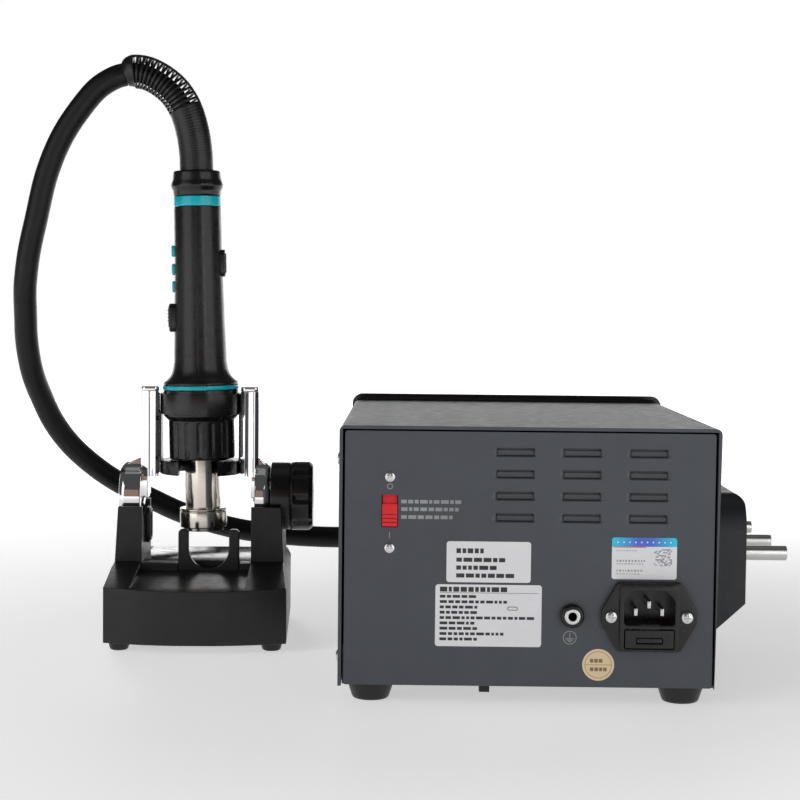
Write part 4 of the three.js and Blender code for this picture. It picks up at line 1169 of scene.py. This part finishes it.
def make_grip():
    left = applied(grip_half("grip_left", (90.25, 269.75)))
    holes = [plate("hole", [rectangle(0, z, 7.2, 8.2, 1.9)], -20, -10, along="x") for z in BUTTON_Z]
    holes.append(plate("slot", [rectangle(0, 202.1, 7.8, 15.8, 1.6)], -25, -10, along="x"))
    left = combined(left, holes)
    middle = sum(THUMB) / 2
    boss = plate("boss", [rectangle(0, middle, 12, THUMB[1] - THUMB[0], 4),
        rectangle(0, 202.1, 7.8, 15.8, 1.6)], -19.4, -14.5, along="x", edge=0.8)
    ridges = [side_pad("ridge", 0.35, (THUMB[0] + 3.2, THUMB[1] - 3.2), (-19.8, -18), 0.3,
        0.1) for _ in range(4)]
    for ridge, y in zip(ridges, (-5.3, -4.5, 4.5, 5.3)):
        moved(ridge, y=y)
    shell = joined("grip_shell_left", [left, boss, *ridges])
    place(shell, HANDPIECE, "handpiece", "satin_plastic", ["handle_shell_left"], "black_plastic")

    right = applied(grip_half("grip_right", (-89.75, 89.75)))
    right = combined(right, [plate("hole", [rectangle(0, 237.2, 7.6, 13.1, 1.8)], 10, 25, along="x")])
    middle = sum(BACK) / 2
    boss = plate("boss", [rectangle(0, middle, 10.4, BACK[1] - BACK[0], 4),
        rectangle(0, 237.2, 7.6, 13.1, 1.8)], 13.8, 17.4, along="x", edge=0.6)
    shell = joined("grip_shell_right", [right, boss])
    place(shell, HANDPIECE, "handpiece", "satin_plastic", ["handle_shell_right"], "black_plastic")


def make_buttons():
    for i, z in enumerate(BUTTON_Z):
        button = side_pad(f"button_{i + 1}_pad", 3.2, (z - 3.7, z + 3.7), (-17.2, -13.5), 1.7, 0.9)
        place(button, HANDPIECE, f"handle_button_{i + 1}", "cyan_plastic", [f"handle_button_{i + 1}"],
            "cyan_plastic")
    pad = side_pad("pad", 3.6, (197.5, 209.7), (-20.0, -14.5), 1.6, 0.5)
    ridges = [side_pad("ridge", 3.2, (z - 0.4, z + 0.4), (-20.5, -19), 0.3, 0.15) for z in (200.4, 202.6,
        204.8, 207)]
    slider = joined("thumb_slider_pad", [pad, *ridges])
    place(slider, HANDPIECE, "thumb_slider", "cyan_plastic", ["thumb_slider"], "cyan_plastic")
    back = side_pad("back_button_pad", 3.5, (231, 243.5), (13, 18.2), 1.7, 0.6)
    place(back, HANDPIECE, "back_button", "black_plastic", ["back_button"], "black_plastic")


HEAD_BANDS = 16


def head_bands(turn, height):
    """Shallow grooves between the flat bands round the head's lower half."""
    step = 2 * math.pi / HEAD_BANDS
    off = abs((turn + step / 2) % step - step / 2) / (step / 2)
    if height < 111.6 or height > 134.6:
        return 0
    fade = min((height - 111.6) / 0.8, (134.6 - height) / 0.8, 1)
    return -0.75 * fade * max(0, 1 - off / 0.42) ** 0.6


def make_head():
    side = [(21.3, z) for z in (111.6, 112.0, 112.4, 118, 126, 133.8, 134.2, 134.6)]
    shell = turned("head_plastic", [(11.75, 110.3), (20.5, 110.3), (21.3, 111.2), *side, (21.3, 135.5),
        (24.3, 138.6), (24.3, 155.3), (20, 155.3), (20, 127), (11.75, 127)], 320, wave=head_bands,
        soften=0.35)
    place(shell, HANDPIECE, "handpiece", "black_plastic", ["head_shell"], "black_plastic")
    low_ring = turned("head_ring", [(20, 155.6), (24.7, 155.6), (24.7, 158.4), (20, 158.4)], 128, soften=0.7)
    place(low_ring, HANDPIECE, "handpiece", "cyan_plastic", ["accent_ring_head"], "cyan_plastic")
    high_ring = turned("upper_ring", [(12.6, 274.1), (15.4, 274.1), (15.4, 280.4), (12.6, 280.4)], 128,
        soften=0.5)
    place(high_ring, HANDPIECE, "handpiece", "cyan_plastic", ["accent_ring_upper"], "cyan_plastic")
    neck = turned("neck_collar", [(8, 280.7), (15.3, 280.7), (15.6, 284), (17.2, 287.3), (15.8, 291),
        (15.3, 296), (14.4, 297), (8, 297)], 128, soften=1.0)
    place(neck, HANDPIECE, "handpiece", "black_plastic", ["handle_collar"], "black_plastic")
    tube = turned("tube", [(10.3, 64.4), (11.4, 64.4), (11.4, 124), (10.3, 124)], 128, soften=0.25)
    place(tube, HANDPIECE, "handpiece", "steel", ["heater_tube"], "steel")
    ring_profile = [(11.7, 63.4), (13.3, 63.4), (13.3, 65.6), (15.3, 65.8), (15.3, 75.7), (14.8, 76),
        (14.8, 76.5), (15.3, 76.8), (15.3, 77.7), (14.9, 78.1), (11.7, 78.1)]
    ring = turned("nozzle_collar", ring_profile, 128, soften=0.3)
    place(ring, HANDPIECE, "handpiece", "steel", ["nozzle_ring"], "steel")
    keep_node("heating_core", "ceramic", 0.4)


# ---------------------------------------------------------------- strain relief

SLEEVE_ROUTE = [                       # in the stand's frame
    (-5, 0, 297.3), (-5.5, 0, 308), (-7.6, 0, 322), (-12.4, 0, 337), (-19.6, 0, 348), (-29, 0, 355.6),
    (-38, 0, 359.6), (-45.5, 0, 360.3), (-51, 0, 358.6),
]
SLEEVE_RADIUS = 10.9
SLEEVE_WALL = 1.5
RIB_PITCH = 3.1
RIB_WIDTH = 1.2
BASE_LENGTH = 41
CONE_LENGTH = 6


def swept_shell(name, rings, radii, arc=(0, 360), steps=64):
    """A hollow tube, or a strip of its wall, along rings. radii(share) gives the inner and outer radius."""
    full = arc[1] - arc[0] >= 360
    columns = steps if full else steps + 1
    points = []
    for i, (point, _, across, other) in enumerate(rings):
        for radius in radii(i / (len(rings) - 1)):
            for k in range(columns):
                turn = math.radians(arc[0] + (arc[1] - arc[0]) * k / steps)
                points.append(point + (across * math.cos(turn) + other * math.sin(turn)) * radius)
    faces = []
    last = len(rings) - 1
    for k in range(steps):
        j = (k + 1) % columns
        for i in range(last):
            here, there = i * 2 * columns, (i + 1) * 2 * columns
            faces.append((here + k, here + j, there + j, there + k))
            faces.append((here + columns + k, here + columns + j, there + columns + j, there + columns + k))
        end = last * 2 * columns
        faces.append((k, j, columns + j, columns + k))
        faces.append((end + k, end + j, end + columns + j, end + columns + k))
    if not full:
        for i in range(last):
            here, there = i * 2 * columns, (i + 1) * 2 * columns
            for k in (0, columns - 1):
                faces.append((here + k, here + columns + k, there + columns + k, there + k))
    return from_points(name, points, faces, 40)


def stretch_of(route, start, end):
    """The rings of a path between two distances along it."""
    return [ring for ring, at in route if start - 0.2 <= at <= end + 0.2]


def make_strain_relief():
    path = curve_through(SLEEVE_ROUTE, 32)
    rings = frames_along(path, (0, 1, 0))
    distances = [0]
    for a, b in zip(path, path[1:]):
        distances.append(distances[-1] + (b - a).length)
    route = list(zip(rings, distances))
    total = distances[-1]
    wall = (SLEEVE_RADIUS - SLEEVE_WALL, SLEEVE_RADIUS)
    ripples = BASE_LENGTH / 1.6

    def base_radii(share):
        return 8.2, SLEEVE_RADIUS - 0.14 * math.sin(math.pi * ripples * share) ** 2

    parts = [swept_shell("base", stretch_of(route, 0, BASE_LENGTH), base_radii)]
    at = BASE_LENGTH + RIB_PITCH - RIB_WIDTH
    ribs_end = total - CONE_LENGTH
    while at + RIB_WIDTH < ribs_end + 0.5:
        parts.append(swept_shell("rib", stretch_of(route, at, at + RIB_WIDTH), lambda share: wall))
        at += RIB_PITCH
    for middle in (90, 270):
        parts.append(swept_shell("spine", stretch_of(route, BASE_LENGTH - 0.5, ribs_end + 0.5),
            lambda share: wall, (middle - 8, middle + 8), 6))
    parts.append(swept_shell("cone", stretch_of(route, ribs_end - 0.2, total),
                             lambda share: (7.4, SLEEVE_RADIUS - 3.0 * share ** 1.5)))
    sleeve = joined("strain_relief", parts)
    place(sleeve, STAND, "handpiece", "rubber", ["hose_sleeve"], "rubber")

    shifted = [ring[0] + ring[3] * 1.6 * math.sin(math.pi * i / (len(rings) - 1)) for i,
        ring in enumerate(rings)]
    inner = tube_piece("hose_in_sleeve", shifted, lambda share, turn: 6.3)
    place(inner, STAND, "handpiece", "hose_rubber")


make_stand_base()
make_arm(-1, "cradle_arm_left", arm_section(4.6, 3.0, 3.9, 1.2, 2.2), 37.1, 51.1)
make_arm(1, "cradle_arm_right", arm_section(2.8, 1.8, 6.0, 0.7, 3.0), 36.1, 45.8)
make_cup()
make_clamp_knob()
make_grip()
make_buttons()
make_head()
make_strain_relief()


# ---------------------------------------------------------------- stage and light

def bench_finish():
    """Pale, and shining a little of its own light away from the object so that it fades into the backdrop."""
    material = plain("pale_bench", (0.8, 0.8, 0.8), 0.55)
    tree = material.node_tree
    shader = tree.nodes["Principled BSDF"]
    shader.inputs["Specular IOR Level"].default_value = 0.1
    shader.inputs["Emission Color"].default_value = (1, 1, 1, 1)
    reach = node(tree, "ShaderNodeVectorMath", operation="LENGTH")
    tree.links.new(node(tree, "ShaderNodeTexCoord").outputs["Object"], reach.inputs[0])
    fade = node(tree, "ShaderNodeMapRange")
    fade.inputs["From Min"].default_value = 0.25
    fade.inputs["From Max"].default_value = 1.1
    fade.inputs["To Min"].default_value = 0.5
    fade.inputs["To Max"].default_value = 1.0
    tree.links.new(reach.outputs["Value"], fade.inputs["Value"])
    tree.links.new(fade.outputs["Result"], shader.inputs["Emission Strength"])
    return material


def make_floor():
    floor = plate("bench", [circle(0, 0, 6000, 64)], -2, 0, along="z")
    floor.data.transform(Matrix.Scale(MM, 4))
    floor.data.materials.append(bench_finish())


def softbox(name, at, toward, width, height, radiance, tint=(1, 1, 1)):
    """A rectangular light of a given brightness, facing a point."""
    light = bpy.data.lights.new(name, "AREA")
    light.shape = "RECTANGLE"
    light.size = width
    light.size_y = height
    light.energy = radiance * width * height * math.pi
    light.color = tint
    lamp = bpy.data.objects.new(name, light)
    lamp.location = at
    lamp.rotation_mode = "QUATERNION"
    lamp.rotation_quaternion = (Vector(toward) - Vector(at)).to_track_quat("-Z", "Y")
    bpy.context.scene.collection.objects.link(lamp)
    return lamp


def make_light():
    world = bpy.data.worlds.new("studio")
    bpy.context.scene.world = world
    world.use_nodes = True
    tree = world.node_tree
    background = tree.nodes["Background"]
    background.inputs["Color"].default_value = (1, 1, 1, 1)
    background.inputs["Strength"].default_value = 0.07
    seen = node(tree, "ShaderNodeBackground", Color=(1, 1, 1, 1), Strength=1.0)
    path = node(tree, "ShaderNodeLightPath")
    mix = node(tree, "ShaderNodeMixShader")
    tree.links.new(path.outputs["Is Camera Ray"], mix.inputs["Fac"])
    tree.links.new(background.outputs["Background"], mix.inputs[1])
    tree.links.new(seen.outputs["Background"], mix.inputs[2])
    tree.links.new(mix.outputs["Shader"], tree.nodes["World Output"].inputs["Surface"])
    softbox("left_box", (-1.45, -1.15, 0.62), (-0.1, 0, 0.2), 1.5, 1.5, 1.15)
    softbox("right_box", (1.42, -1.12, 0.62), (0, 0, 0.2), 1.8, 1.5, 1.1)
    softbox("bright_strip", (1.03, -1.94, 0.62), (0, 0, 0.2), 0.12, 1.3, 4.0)
    softbox("back_wall", (0, 2.7, 0.42), (0, 0, 0.42), 5.0, 0.84, 2.0)
    softbox("top_light", (0, 0.3, 2.2), (0, 0, 0), 2.0, 1.2, 0.15)
    softbox("brown_wall", (-0.35, -2.2, 0.5), (0, 0, 0.3), 1.2, 1.0, 0.22, (1.0, 0.55, 0.36))
    bpy.context.scene.view_settings.view_transform = "Standard"


make_floor()
make_light()
